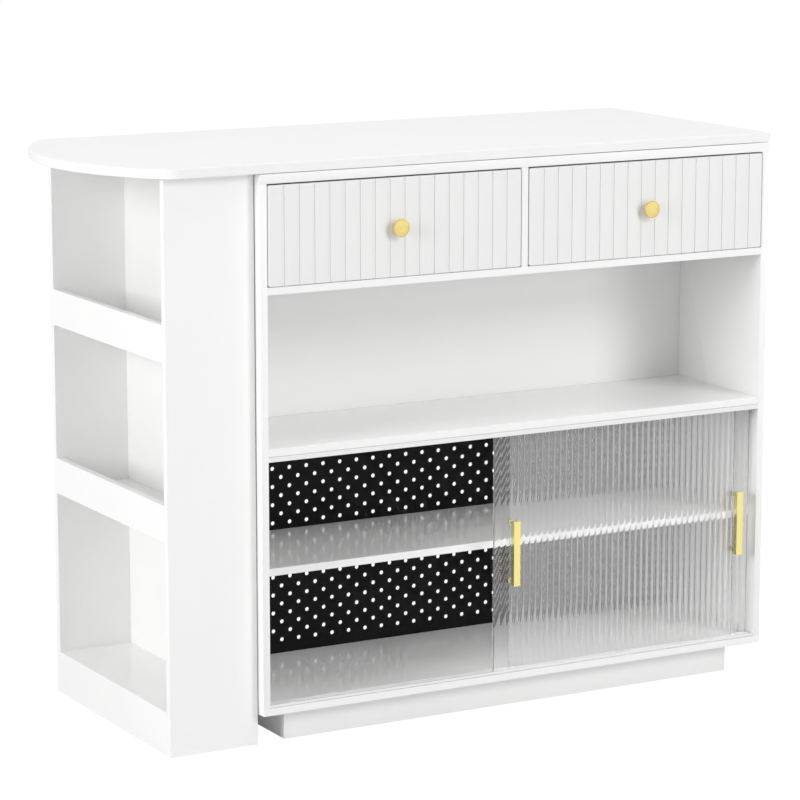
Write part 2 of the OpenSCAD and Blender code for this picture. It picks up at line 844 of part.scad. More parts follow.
// A turned knob: a round foot, a neck that widens to the rim, and a low dome
module drawer_knob(bay) {
    rim_front = knob_reach - knob_dome;
    rim_back = rim_front - knob_rim_t;
    dome_r = knob_r - knob_edge;
    color(gold) difference() {
        translate([knob_x(bay), face_y, knob_z]) rotate([90, 0, 0]) rotate_extrude($fn = 96)
            polygon(concat(
                [[0, 0], [knob_foot_r, 0], [knob_neck_r, knob_neck_y], [dome_r, rim_back],
                    [knob_r, rim_back + knob_edge], [knob_r, rim_front - knob_edge]],
                [for (a = [0 : 15 : 75]) [dome_r * cos(a), rim_front + knob_dome * sin(a)]],
                [[0, knob_reach]]
            ));
        rod_y(knob_x(bay), face_y - knob_screw_bite - tip_room, face_y + tiny, knob_z,
            knob_screw_r + thread_clear);
    }
}

module knob_screw(bay) {
    color(steel) {
        rod_y(knob_x(bay), face_y - knob_screw_bite, box_y, knob_z, knob_screw_r);
        rod_y(knob_x(bay), box_y, box_y + knob_screw_head_t, knob_z, knob_screw_head_r);
    }
}

worktop();
worktop_pads();
worktop_screws();
worktop_brackets();
tower_front_panel();
tower_back_panel();
tower_divider();
tower_kickboard();
tower_floor();
tower_lower_shelf();
tower_upper_shelf();
tower_lower_rail();
tower_upper_rail();
joining_spacers();
joining_bolts();
cabinet_left_side();
cabinet_right_side();
cabinet_bottom();
cabinet_top();
open_bay_floor();
drawer_bay_floor();
drawer_divider();
upper_back_panel();
perforated_back_panel();
adjustable_shelf();
shelf_pins();
plinth_front();
plinth_back();
plinth_left_end();
plinth_right_end();
lower_track();
upper_track();
cabinet_runners(0);  // left_cabinet_runners
cabinet_runners(1);  // right_cabinet_runners
left_door_glass();
left_door_handle();
left_door_screws();
right_door_glass();
right_door_handle();
right_door_screws();
drawer_front(0);  // left_drawer_front
drawer_side(0, false);  // left_drawer_left_side
drawer_side(0, true);  // left_drawer_right_side
drawer_back(0);  // left_drawer_back
drawer_bottom(0);  // left_drawer_bottom
drawer_runners(0);  // left_drawer_runners
drawer_knob(0);  // left_drawer_knob
knob_screw(0);  // left_drawer_knob_screw
drawer_front(1);  // right_drawer_front
drawer_side(1, false);  // right_drawer_left_side
drawer_side(1, true);  // right_drawer_right_side
drawer_back(1);  // right_drawer_back
drawer_bottom(1);  // right_drawer_bottom
drawer_runners(1);  // right_drawer_runners
drawer_knob(1);  // right_drawer_knob
knob_screw(1);  // right_drawer_knob_screw
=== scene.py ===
"""Kitchen island unit: the finishes and the pieces of its tower, cabinet, doors and drawers.

Lengths are in metres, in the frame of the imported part: X runs along the front, Y from the front to
the back, and Z up. Each sub-assembly is a class, and its places come from the part's own boxes.
"""

import logging
import math
from collections.abc import Iterator
from contextlib import contextmanager
from dataclasses import dataclass
from enum import Enum

import bmesh
import bpy
import numpy as np
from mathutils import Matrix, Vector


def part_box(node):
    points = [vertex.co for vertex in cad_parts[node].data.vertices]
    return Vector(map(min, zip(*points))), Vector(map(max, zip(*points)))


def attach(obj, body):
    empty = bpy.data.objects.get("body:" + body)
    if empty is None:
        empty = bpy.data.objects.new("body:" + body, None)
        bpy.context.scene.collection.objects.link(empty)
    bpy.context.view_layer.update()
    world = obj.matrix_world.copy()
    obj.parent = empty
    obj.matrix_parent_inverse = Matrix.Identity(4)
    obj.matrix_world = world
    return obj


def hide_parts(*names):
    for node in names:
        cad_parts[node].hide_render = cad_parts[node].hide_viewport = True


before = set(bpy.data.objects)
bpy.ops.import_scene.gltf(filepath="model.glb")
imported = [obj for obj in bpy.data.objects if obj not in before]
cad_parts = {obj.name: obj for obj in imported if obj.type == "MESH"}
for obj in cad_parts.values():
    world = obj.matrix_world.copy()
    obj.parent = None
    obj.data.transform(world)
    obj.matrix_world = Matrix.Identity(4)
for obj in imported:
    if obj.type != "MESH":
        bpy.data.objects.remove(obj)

log = logging.getLogger("kitchen_island_unit")
MM = 0.001
MERGE = 2e-6
NEXT_TO_NOTHING = 1e-20
RIGHT_ANGLE = math.pi / 2
NOISE_LOW, NOISE_HIGH = 0.3, 0.7
Colour = tuple[float, float, float]
Point = tuple[float, float, float]
Shell = tuple[np.ndarray, list[tuple[int, ...]]]


# ---------------------------------------------------------------------------------- shapes


class Axis(Enum):
    """The way that a shape's own third axis points; each row says where an own axis goes."""

    UP = ((1, 0, 0), (0, 1, 0), (0, 0, 1))
    DOWN = ((0, 1, 0), (1, 0, 0), (0, 0, -1))
    FRONT = ((1, 0, 0), (0, 0, 1), (0, -1, 0))
    BACK = ((0, 0, 1), (1, 0, 0), (0, 1, 0))
    RIGHT = ((0, 1, 0), (0, 0, 1), (1, 0, 0))
    LEFT = ((0, 0, 1), (0, 1, 0), (-1, 0, 0))

    def carry(self, points: np.ndarray, origin: Point) -> np.ndarray:
        """Turns points onto this axis and moves them.

        Args:
            points: an array of points, whose last index is the coordinate.
            origin: where the shape's own origin goes.

        Returns:
            The moved points.
        """
        return points @ np.array(self.value, float) + np.array(origin, float)


def rounded(
    before: np.ndarray,
    corner: np.ndarray,
    after: np.ndarray,
    radius: float | np.ndarray,
    steps: int,
) -> tuple[np.ndarray, np.ndarray]:
    """Rounds corners of lines in the complex plane with arcs.

    An arc starts at the corner less radius * tan(turn / 2) along the line that comes in, and turns
    about its centre by the angle between both lines.

    Args:
        before: the point before each corner.
        corner: the corners.
        after: the point after each corner.
        radius: the arcs' radius, or one for each corner.
        steps: the chords of an arc.

    Returns:
        The arcs' points, and the normals on their right, with a row for each corner.
    """
    come, leave = corner - before, after - corner
    come, leave = come / abs(come), leave / abs(leave)
    turn = np.angle(leave / come)
    start = corner - come * radius * np.tan(abs(turn) / 2)
    centre = start + np.sign(turn) * radius * 1j * come
    sweep = np.exp(1j * turn[:, None] * np.linspace(0, 1, steps + 1))
    return centre[:, None] + (start - centre)[:, None] * sweep, (-1j * come)[:, None] * sweep


def rounded_line(corners: list[complex], radius: float, steps: int) -> np.ndarray:
    """An open line through the corners, with arcs at all but its two ends.

    Args:
        corners: the line's corners.
        radius: the arcs' radius.
        steps: the chords of an arc.

    Returns:
        The line's points.
    """
    p = np.array(corners, complex)
    arcs, _ = rounded(p[:-2], p[1:-1], p[2:], radius, steps)
    return np.concatenate([p[:1], arcs.ravel(), p[-1:]])


def rings_of(flat: np.ndarray, heights: np.ndarray) -> np.ndarray:
    """Stacks flat rings of complex points at their heights, one for each ring."""
    return np.stack([flat.real, flat.imag, np.broadcast_to(heights[:, None], flat.shape)], -1)


@dataclass(frozen=True)
class Outline:
    """A closed anticlockwise outline in the complex plane, with its outward normals."""

    points: np.ndarray
    normals: np.ndarray

    @classmethod
    def of(cls, corners: list[complex], radius: float | np.ndarray, steps: int = 3) -> "Outline":
        """Rounds a polygon, given in either direction.

        Args:
            corners: the polygon.
            radius: the arcs' radius, or one for each corner.
            steps: the chords of an arc.

        Returns:
            The rounded outline.
        """
        p = np.array(corners, complex)
        radii = np.broadcast_to(np.array(radius, float), p.shape)
        if np.sum(np.conj(p) * np.roll(p, -1)).imag < 0:
            p, radii = p[::-1], radii[::-1]
        points, normals = rounded(np.roll(p, 1), p, np.roll(p, -1), radii, steps)
        return cls(points.ravel(), normals.ravel())

    @classmethod
    def box(
        cls, x0: float, y0: float, x1: float, y1: float, radius: float, steps: int = 3
    ) -> "Outline":
        """A rectangle with round corners."""
        corners = [complex(x0, y0), complex(x1, y0), complex(x1, y1), complex(x0, y1)]
        return cls.of(corners, radius, steps)

    def prism(self, length: float, edge: float, steps: int = 3) -> np.ndarray:
        """Carries the outline along its third axis, with both ends rounded by a quarter circle.

        A ring lies at edge * (1 - cos a) from its end and is inset by edge * (1 - sin a), where a
        goes from 0 at the end to a right angle.

        Args:
            length: the prism's length.
            edge: the radius of the rounded ends.
            steps: the chords of a quarter circle.

        Returns:
            The rings, as an array of rings by points by coordinates.
        """
        angle = np.linspace(0, RIGHT_ANGLE, steps + 1)
        depth, inset = edge * (1 - np.cos(angle)), edge * (1 - np.sin(angle))
        heights = np.concatenate([depth, (length - depth)[::-1]])
        insets = np.concatenate([inset, inset[::-1]])
        return rings_of(self.points - insets[:, None] * self.normals, heights)


def turned(line: np.ndarray, segments: int = 64) -> np.ndarray:
    """Turns a line about the third axis: radius r, height h and angle t give (r cos t, r sin t, h).

    Args:
        line: radius + height * 1j, from the bottom's middle, round the outside, to the top's.
        segments: the points of a ring.

    Returns:
        The rings, from the bottom to the top.
    """
    turn = np.exp(2j * np.pi * np.arange(segments) / segments)
    return rings_of(line.real[:, None] * turn, line.imag)


def peg(
    radius: float, length: float, edge: float, steps: int = 3, segments: int = 64
) -> np.ndarray:
    """Turns a round bar that stands on its own origin, with both rims rounded.

    Args:
        radius: the bar's radius.
        length: its length.
        edge: the rims' radius.
        steps: the chords of a rim.
        segments: the points of a ring.

    Returns:
        The rings, from the bottom to the top.
    """
    corners = [0j, complex(radius, 0), complex(radius, length), complex(0, length)]
    return turned(rounded_line(corners, edge, steps), segments)


def tube(rings: np.ndarray, axis: Axis, origin: Point) -> Shell:
    """Closes a stack of rings with a face over each end, and puts it in its place.

    Args:
        rings: the rings, anticlockwise as seen from the last one's side.
        axis: the axis that the stack goes along.
        origin: where the stack's own origin goes.

    Returns:
        The points and the faces, which point outwards.
    """
    count, size = rings.shape[:2]
    here = np.arange(count * size).reshape(count, size)
    beside = np.roll(here, -1, axis=1)
    quads = np.stack([here[:-1], beside[:-1], beside[1:], here[1:]], -1).reshape(-1, 4).tolist()
    ends = [here[0, ::-1].tolist(), here[-1].tolist()]
    return axis.carry(rings, origin).reshape(-1, 3), [tuple(face) for face in quads + ends]


def round_box(low: Point, high: Point, radius: float, steps: int = 3) -> Shell:
    """A box whose edges are quarter circles.

    Args:
        low: the lowest corner.
        high: the highest corner.
        radius: the edges' radius.
        steps: the chords of a quarter circle.

    Returns:
        The points and the faces.
    """
    plan = Outline.box(low[0], low[1], high[0], high[1], radius, steps)
    return tube(plan.prism(high[2] - low[2], radius, steps), Axis.UP, (0, 0, low[2]))


def linked(name: str, mesh: bpy.types.Mesh) -> bpy.types.Object:
    """Puts a mesh in the scene as an object at the origin."""
    made = bpy.data.objects.new(name, mesh)
    bpy.context.scene.collection.objects.link(made)
    return made


def weigh_normals(mesh: bpy.types.Mesh) -> None:
    """Sets each point's normal to the sum of its faces' normals, each times the face's area.

    Args:
        mesh: the mesh, whose broad faces then shade flat beside their small round edges.
    """
    count = len(mesh.polygons)
    normal, area, sides = np.zeros(count * 3), np.zeros(count), np.zeros(count, int)
    corner = np.zeros(len(mesh.loops), int)
    mesh.polygons.foreach_get("normal", normal)
    mesh.polygons.foreach_get("area", area)
    mesh.polygons.foreach_get("loop_total", sides)
    mesh.loops.foreach_get("vertex_index", corner)
    total = np.zeros((len(mesh.vertices), 3))
    np.add.at(total, corner, np.repeat(normal.reshape(-1, 3) * area[:, None], sides, axis=0))
    total /= np.maximum(np.linalg.norm(total, axis=1, keepdims=True), NEXT_TO_NOTHING)
    mesh.shade_smooth()
    mesh.normals_split_custom_set_from_vertices(total.tolist())


@contextmanager
def reshaped(mesh: bpy.types.Mesh) -> Iterator[bmesh.types.BMesh]:
    """Opens a mesh for changes to its points and faces, and writes them back at the end."""
    work = bmesh.new()
    work.from_mesh(mesh)
    yield work
    work.to_mesh(mesh)
    work.free()


def piece_of(name: str, *shells: Shell) -> bpy.types.Object:
    """Makes one object of closed shells, and weighs each normal by the faces' areas.

    Args:
        name: the object's name.
        shells: the points and faces of each shell.

    Returns:
        The object, at the origin, with its place in its mesh.
    """
    starts = np.cumsum([0] + [len(points) for points, _ in shells])
    points = np.concatenate([points for points, _ in shells])
    faces = [
        tuple(i + start for i in face)
        for (_, part), start in zip(shells, starts)
        for face in part
    ]
    mesh = bpy.data.meshes.new(name)
    mesh.from_pydata(points.tolist(), [], faces)
    with reshaped(mesh) as work:
        bmesh.ops.remove_doubles(work, verts=work.verts, dist=MERGE)
        bmesh.ops.dissolve_degenerate(work, edges=work.edges, dist=MERGE)
    weigh_normals(mesh)
    return linked(name, mesh)


# ---------------------------------------------------------------------------------- finishes


class Wiring:
    """Adds nodes to a node tree, and links or sets their inputs by name."""

    def __init__(self, tree: bpy.types.NodeTree) -> None:
        """Takes a tree and clears it."""
        self.tree = tree
        tree.nodes.clear()

    def add(self, kind: str, inputs: dict | None = None, **settings: object) -> bpy.types.Node:
        """Adds one node.

        Args:
            kind: the node's type, without its usual beginning.
            inputs: values or output sockets, by the input's name or number.
            settings: the node's own properties, which are set first.

        Returns:
            The node.
        """
        made = self.tree.nodes.new(kind if kind.startswith("NodeGroup") else "ShaderNode" + kind)
        for key, value in settings.items():
            setattr(made, key, value)
        for key, value in (inputs or {}).items():
            if isinstance(value, bpy.types.NodeSocket):
                self.tree.links.new(value, made.inputs[key])
            else:
                made.inputs[key].default_value = value
        return made


class Effect:
    """A shader node group in the making, with its named sockets."""

    def __init__(self, name: str, inputs: dict[str, str], outputs: dict[str, str]) -> None:
        """Starts the group.

        Args:
            name: the group's name.
            inputs: the type of each input socket, by name.
            outputs: the type of each output socket, by name.
        """
        self.tree = bpy.data.node_groups.new(name, "ShaderNodeTree")
        for way, sockets in (("INPUT", inputs), ("OUTPUT", outputs)):
            for title, kind in sockets.items():
                kind = "NodeSocket" + kind
                self.tree.interface.new_socket(name=title, in_out=way, socket_type=kind)
        self.wiring = Wiring(self.tree)
        self.given = self.wiring.add("NodeGroupInput").outputs
        self.out = self.wiring.add("NodeGroupOutput").inputs

    def spread(self, value: bpy.types.NodeSocket, mean: object, by: object) -> bpy.types.NodeSocket:
        """Carries a noise's usual range onto mean - by to mean + by.

        Args:
            value: the noise.
            mean: the mean, as a number or a socket.
            by: the spread, as a number or a socket.

        Returns:
            The spread value.
        """
        low = self.wiring.add("Math", {0: mean, 1: by}, operation="SUBTRACT").outputs[0]
        high = self.wiring.add("Math", {0: mean, 1: by}, operation="ADD").outputs[0]
        ends = {"From Min": NOISE_LOW, "From Max": NOISE_HIGH, "To Min": low, "To Max": high}
        return self.wiring.add("MapRange", {"Value": value} | ends).outputs["Result"]

    def touch(self, height: bpy.types.NodeSocket) -> bpy.types.NodeTree:
        """Ends a surface group: the height as a bump, and a roughness that varies with it.

        Args:
            height: the height's pattern.

        Returns:
            The group.
        """
        bump = {"Height": height, "Distance": self.given["Height"], "Strength": 1.0}
        normal = self.wiring.add("Bump", bump).outputs["Normal"]
        rough = self.spread(height, self.given["Mean"], self.given["Spread"])
        return self.end(Normal=normal, Roughness=rough)

    def end(self, **results: bpy.types.NodeSocket) -> bpy.types.NodeTree:
        """Links the results to the output sockets, and gives the group."""
        for title, socket in results.items():
            self.tree.links.new(socket, self.out[title])
        return self.tree


SURFACE_INPUTS = {
    "Vector": "Vector",
    "Scale": "Float",
    "Height": "Float",
    "Mean": "Float",
    "Spread": "Float",
}
SURFACE_OUTPUTS = {"Normal": "Vector", "Roughness": "Float"}


def mottle_effect() -> bpy.types.NodeTree:
    """A group that makes a colour slightly lighter and darker, by 1 + amount * (2 * noise - 1)."""
    inputs = {"Vector": "Vector", "Tone": "Color", "Scale": "Float", "Amount": "Float"}
    effect = Effect("soft_mottle", inputs, {"Colour": "Color"})
    given = effect.given
    noise = {"Vector": given["Vector"], "Scale": given["Scale"], "Detail": 3.0}
    noise = effect.wiring.add("TexNoise", noise)
    factor = effect.spread(noise.outputs["Fac"], 1.0, given["Amount"])
    scaled = effect.wiring.add("VectorMath", {0: given["Tone"], "Scale": factor}, operation="SCALE")
    return effect.end(Colour=scaled.outputs[0])


def grain_effect() -> bpy.types.NodeTree:
    """A group for a fine, even grain."""
    effect = Effect("fine_grain", SURFACE_INPUTS, SURFACE_OUTPUTS)
    inputs = {"Vector": effect.given["Vector"], "Scale": effect.given["Scale"], "Detail": 2.0}
    return effect.touch(effect.wiring.add("TexNoise", inputs).outputs["Fac"])


def ring_effect() -> bpy.types.NodeTree:
    """A group for the fine rings that a lathe leaves, about the Y axis."""
    effect = Effect("lathe_rings", SURFACE_INPUTS, SURFACE_OUTPUTS)
    inputs = {"Vector": effect.given["Vector"], "Scale": effect.given["Scale"]}
    inputs |= {"Distortion": 0.6, "Detail": 1.0, "Detail Scale": 2.0}
    rings = effect.wiring.add("TexWave", inputs, wave_type="RINGS", rings_direction="Y")
    return effect.touch(rings.outputs["Fac"])


class Effects:
    """The node groups that the finishes share, each built once."""

    def __init__(self) -> None:
        """Builds the groups."""
        self.mottle = mottle_effect()
        self.grain = grain_effect()
        self.rings = ring_effect()


@dataclass(frozen=True)
class Finish:
    """A softly mottled colour over a fine grain, or over lathe rings about a centre."""

    name: str
    slot: str
    colour: Colour
    roughness: float
    metallic: float = 0.0
    specular: float = 0.5
    # the metal's tint at grazing angles; a dark one is painted shade along a thing's edges
    grazing: Colour = (1.0, 1.0, 1.0)
    mottle_scale: float = 9.0
    mottle: float = 0.006
    grain_scale: float = 420.0
    grain_height: float = 0.002 * MM
    spread: float = 0.02
    stretch: Point = (1.0, 1.0, 1.0)
    centre: Point | None = None

    def material(self, effects: Effects) -> bpy.types.Material:
        """Builds the material, whose shader stands outside the groups.

        Args:
            effects: the shared groups.

        Returns:
            The material.
        """
        made = bpy.data.materials.new(self.name)
        made.use_nodes = True
        wiring = Wiring(made.node_tree)
        place = wiring.add("TexCoord").outputs["Object"]
        away = tuple(-c for c in self.centre or (0, 0, 0))
        moved = wiring.add("Mapping", {"Vector": place, "Location": away, "Scale": self.stretch})
        tone = {"Vector": place, "Tone": (*self.colour, 1)}
        tone |= {"Scale": self.mottle_scale, "Amount": self.mottle}
        tone = wiring.add("Group", tone, node_tree=effects.mottle)
        touch = {"Vector": moved.outputs["Vector"], "Scale": self.grain_scale}
        touch |= {"Height": self.grain_height, "Mean": self.roughness, "Spread": self.spread}
        marks = effects.rings if self.centre else effects.grain
        touch = wiring.add("Group", touch, node_tree=marks)
        shader = {
            "Base Color": tone.outputs["Colour"],
            "Roughness": touch.outputs["Roughness"],
            "Normal": touch.outputs["Normal"],
            "Metallic": self.metallic,
            "Specular IOR Level": self.specular,
            "Specular Tint": (*self.grazing, 1),
        }
        shader = wiring.add("BsdfPrincipled", shader)
        wiring.add("OutputMaterial", {"Surface": shader.outputs["BSDF"]})
        return made


@dataclass(frozen=True)
class ReededGlass:
    """Clear glass, slightly grey; lamps' rays pass it as if it were a thin tinted film."""

    name: str = "reeded_glass"
    slot: str = "reeded_glass"
    colour: Colour = (0.975, 0.975, 0.975)
    film: Colour = (0.88, 0.88, 0.88)
    roughness: float = 0.004
    spread: float = 0.003
    index: float = 1.49
    clear: float = 0.96
    ripple_scale: float = 22.0
    ripple_height: float = 0.001 * MM

    def material(self, effects: Effects) -> bpy.types.Material:
        """Builds the material: glass for what looks at it, and a tinted film for lamps' rays.

        Args:
            effects: the shared groups.

        Returns:
            The material.
        """
        made = bpy.data.materials.new(self.name)
        made.use_nodes = True
        wiring = Wiring(made.node_tree)
        touch = {"Vector": wiring.add("TexCoord").outputs["Object"], "Scale": self.ripple_scale}
        touch |= {"Height": self.ripple_height, "Mean": self.roughness, "Spread": self.spread}
        touch = wiring.add("Group", touch, node_tree=effects.grain)
        shader = {
            "Base Color": (*self.colour, 1),
            "Roughness": touch.outputs["Roughness"],
            "Normal": touch.outputs["Normal"],
            "IOR": self.index,
            "Transmission Weight": self.clear,
        }
        shader = wiring.add("BsdfPrincipled", shader)
        film = wiring.add("BsdfTransparent", {"Color": (*self.film, 1)})
        lit = wiring.add("LightPath").outputs["Is Shadow Ray"]
        mixed = {0: lit, 1: shader.outputs["BSDF"], 2: film.outputs["BSDF"]}
        wiring.add("OutputMaterial", {"Surface": wiring.add("MixShader", mixed).outputs["Shader"]})
        return made


@dataclass(frozen=True)
class Finishes:
    """Every finish of the unit."""

    board: Finish = Finish(
        "white_laminate", "white_board", (0.93, 0.93, 0.926), 0.13, specular=0.36
    )
    drawer_front: Finish = Finish(
        "white_lacquer", "white_board", (0.85, 0.85, 0.846), 0.3, specular=0.3
    )
    worktop: Finish = Finish("worktop_laminate", "worktop", (0.89, 0.89, 0.888), 0.3)
    panel: Finish = Finish(
        "black_powder_coat", "black_panel", (0.006, 0.006, 0.006), 0.4, specular=0.12, mottle=0.1
    )
    gold: Finish = Finish(
        "satin_gold",
        "gold",
        (1.0, 0.88, 0.36),
        0.17,
        metallic=1.0,
        mottle=0.01,
        grain_height=0.0006 * MM,
    )
    steel: Finish = Finish(
        "zinc_plate",
        "steel",
        (0.60, 0.61, 0.63),
        0.32,
        metallic=1.0,
        mottle=0.06,
        stretch=(1.0, 0.1, 1.0),
    )
    track: Finish = Finish("white_track_plastic", "track", (0.86, 0.86, 0.86), 0.24)
    pad: Finish = Finish("black_rubber", "pad", (0.03, 0.03, 0.03), 0.7, mottle=0.1)
    glass: ReededGlass = ReededGlass()


class Dresser:
    """Gives pieces their material and their body, and hides the node that they stand for."""

    def __init__(self, finishes: Finishes) -> None:
        """Keeps the finishes, whose materials are built when they are first asked for."""
        self.effects = Effects()
        self.finishes = finishes
        self.made: dict[str, bpy.types.Material] = {}
        self.count = 0

    def coat(self, piece: bpy.types.Object, finish: Finish | ReededGlass) -> None:
        """Gives an object its finish as its only material."""
        if finish.name not in self.made:
            self.made[finish.name] = finish.material(self.effects)
        piece.data.materials.clear()
        piece.data.materials.append(self.made[finish.name])
        self.count += 1

    def dress(
        self, piece: bpy.types.Object, finish: Finish | ReededGlass, body: str, node: str
    ) -> None:
        """Finishes a new piece.

        Args:
            piece: the object.
            finish: its finish.
            body: the body that it rides on.
            node: the CAD node that it stands for.
        """
        self.coat(piece, finish)
        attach(piece, body)
        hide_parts(node)
        log.info("%s: %d faces, on %s", piece.name, len(piece.data.polygons), body)

    def keep(self, node: str, finish: Finish) -> None:
        """Finishes a CAD node whose shape is right as it is."""
        self.coat(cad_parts[node], finish)
        log.info("%s: kept", node)


# ---------------------------------------------------------------------------------- sub-assemblies


@dataclass(frozen=True)
class Boards:
    """The flat boards, whose edges are eased by a small radius."""

    radius: float = 0.5 * MM
    steps: int = 2
    sharp: float = math.radians(40)
    level: float = math.radians(2)

    def plain(self, dresser: Dresser, body: str, *nodes: str) -> None:
        """Replaces boards that are plain boxes.

        Args:
            dresser: gives the finish.
            body: the body that they ride on.
            nodes: the CAD nodes.
        """
        for node in nodes:
            low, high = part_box(node)
            piece = piece_of(node + "_board", round_box(tuple(low), tuple(high), self.radius))
            dresser.dress(piece, dresser.finishes.board, body, node)

    def drilled(self, dresser: Dresser, body: str, *nodes: str) -> None:
        """Replaces boards that have holes or grooves with merged copies, eased at every sharp edge.

        Args:
            dresser: gives the finish.
            body: the body that they ride on.
            nodes: the CAD nodes.
        """
        for node in nodes:
            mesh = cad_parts[node].data.copy()
            with reshaped(mesh) as work:
                bmesh.ops.remove_doubles(work, verts=work.verts, dist=MERGE)
                flat = {"angle_limit": self.level, "verts": work.verts, "edges": work.edges}
                bmesh.ops.dissolve_limit(work, **flat)
            mesh.shade_smooth()
            piece = linked(node + "_board", mesh)
            eased = piece.modifiers.new("eased_edges", "BEVEL")
            eased.width, eased.segments = self.radius, self.steps
            eased.limit_method, eased.angle_limit = "ANGLE", self.sharp
            eased.harden_normals = True
            dresser.dress(piece, dresser.finishes.board, body, node)

    def build(self, dresser: Dresser) -> None:
        """Makes the boards of the tower, the cabinet and the plinth."""
        self.plain(
            dresser,
            "cabinet",
            *("tower_front_panel", "tower_back_panel", "tower_kickboard", "tower_floor"),
            *("tower_lower_shelf", "tower_upper_shelf", "tower_lower_rail", "tower_upper_rail"),
            *("cabinet_bottom", "open_bay_floor", "drawer_bay_floor", "drawer_divider"),
            *("upper_back_panel", "adjustable_shelf"),
            *("plinth_front", "plinth_back", "plinth_left_end", "plinth_right_end"),
        )
        self.drilled(
            dresser,
            "cabinet",
            *("tower_divider", "cabinet_left_side", "cabinet_right_side", "cabinet_top"),
        )


@dataclass(frozen=True)
class Worktop:
    """The worktop: square at the right, with one wide arc between two corner arcs at the left."""

    wide_radius: float = 378 * MM
    corner_radius: float = 42 * MM
    square_radius: float = 1.5 * MM
    edge: float = 0.8 * MM
    edge_steps: int = 4
    wide_steps: int = 72
    corner_steps: int = 24
    square_steps: int = 4

    def outline(self, low: Point, high: Point) -> Outline:
        """Joins five arcs, each a centre plus its radius times exp(1j * angle).

        The corner arcs touch the wide arc from inside, so their centres lie at the wide radius less
        the corner radius from its centre.

        Args:
            low: the worktop's lowest corner.
            high: its highest corner.

        Returns:
            The outline.
        """
        middle = (high[1] + low[1]) / 2
        wide = complex(low[0] + self.wide_radius, middle)
        side = (high[1] - low[1]) / 2 - self.corner_radius
        reach = self.wide_radius - self.corner_radius
        corner = wide.real - math.sqrt(reach**2 - side**2)
        lean = math.asin(side / reach)
        square, round_off = self.square_radius, self.corner_radius
        inner = high[0] - square
        quarter, half, three = RIGHT_ANGLE, math.pi, 3 * RIGHT_ANGLE
        arcs = [
            (complex(inner, low[1] + square), square, -quarter, 0, self.square_steps),
            (complex(inner, high[1] - square), square, 0, quarter, self.square_steps),
            (complex(corner, middle + side), round_off, quarter, half - lean, self.corner_steps),
            (wide, self.wide_radius, half - lean, half + lean, self.wide_steps),
            (complex(corner, middle - side), round_off, half + lean, three, self.corner_steps),
        ]
        turns = [
            np.exp(1j * np.linspace(first, last, steps + 1)) for _, _, first, last, steps in arcs
        ]
        points = [centre + radius * turn for (centre, radius, *_), turn in zip(arcs, turns)]
        return Outline(np.concatenate(points), np.concatenate(turns))

    def build(self, dresser: Dresser) -> None:
        """Makes the worktop."""
        low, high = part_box("worktop")
        rings = self.outline(low, high).prism(high[2] - low[2], self.edge, self.edge_steps)
        piece = piece_of("worktop_slab", tube(rings, Axis.UP, (0, 0, low[2])))
        dresser.dress(piece, dresser.finishes.worktop, "cabinet", "worktop")


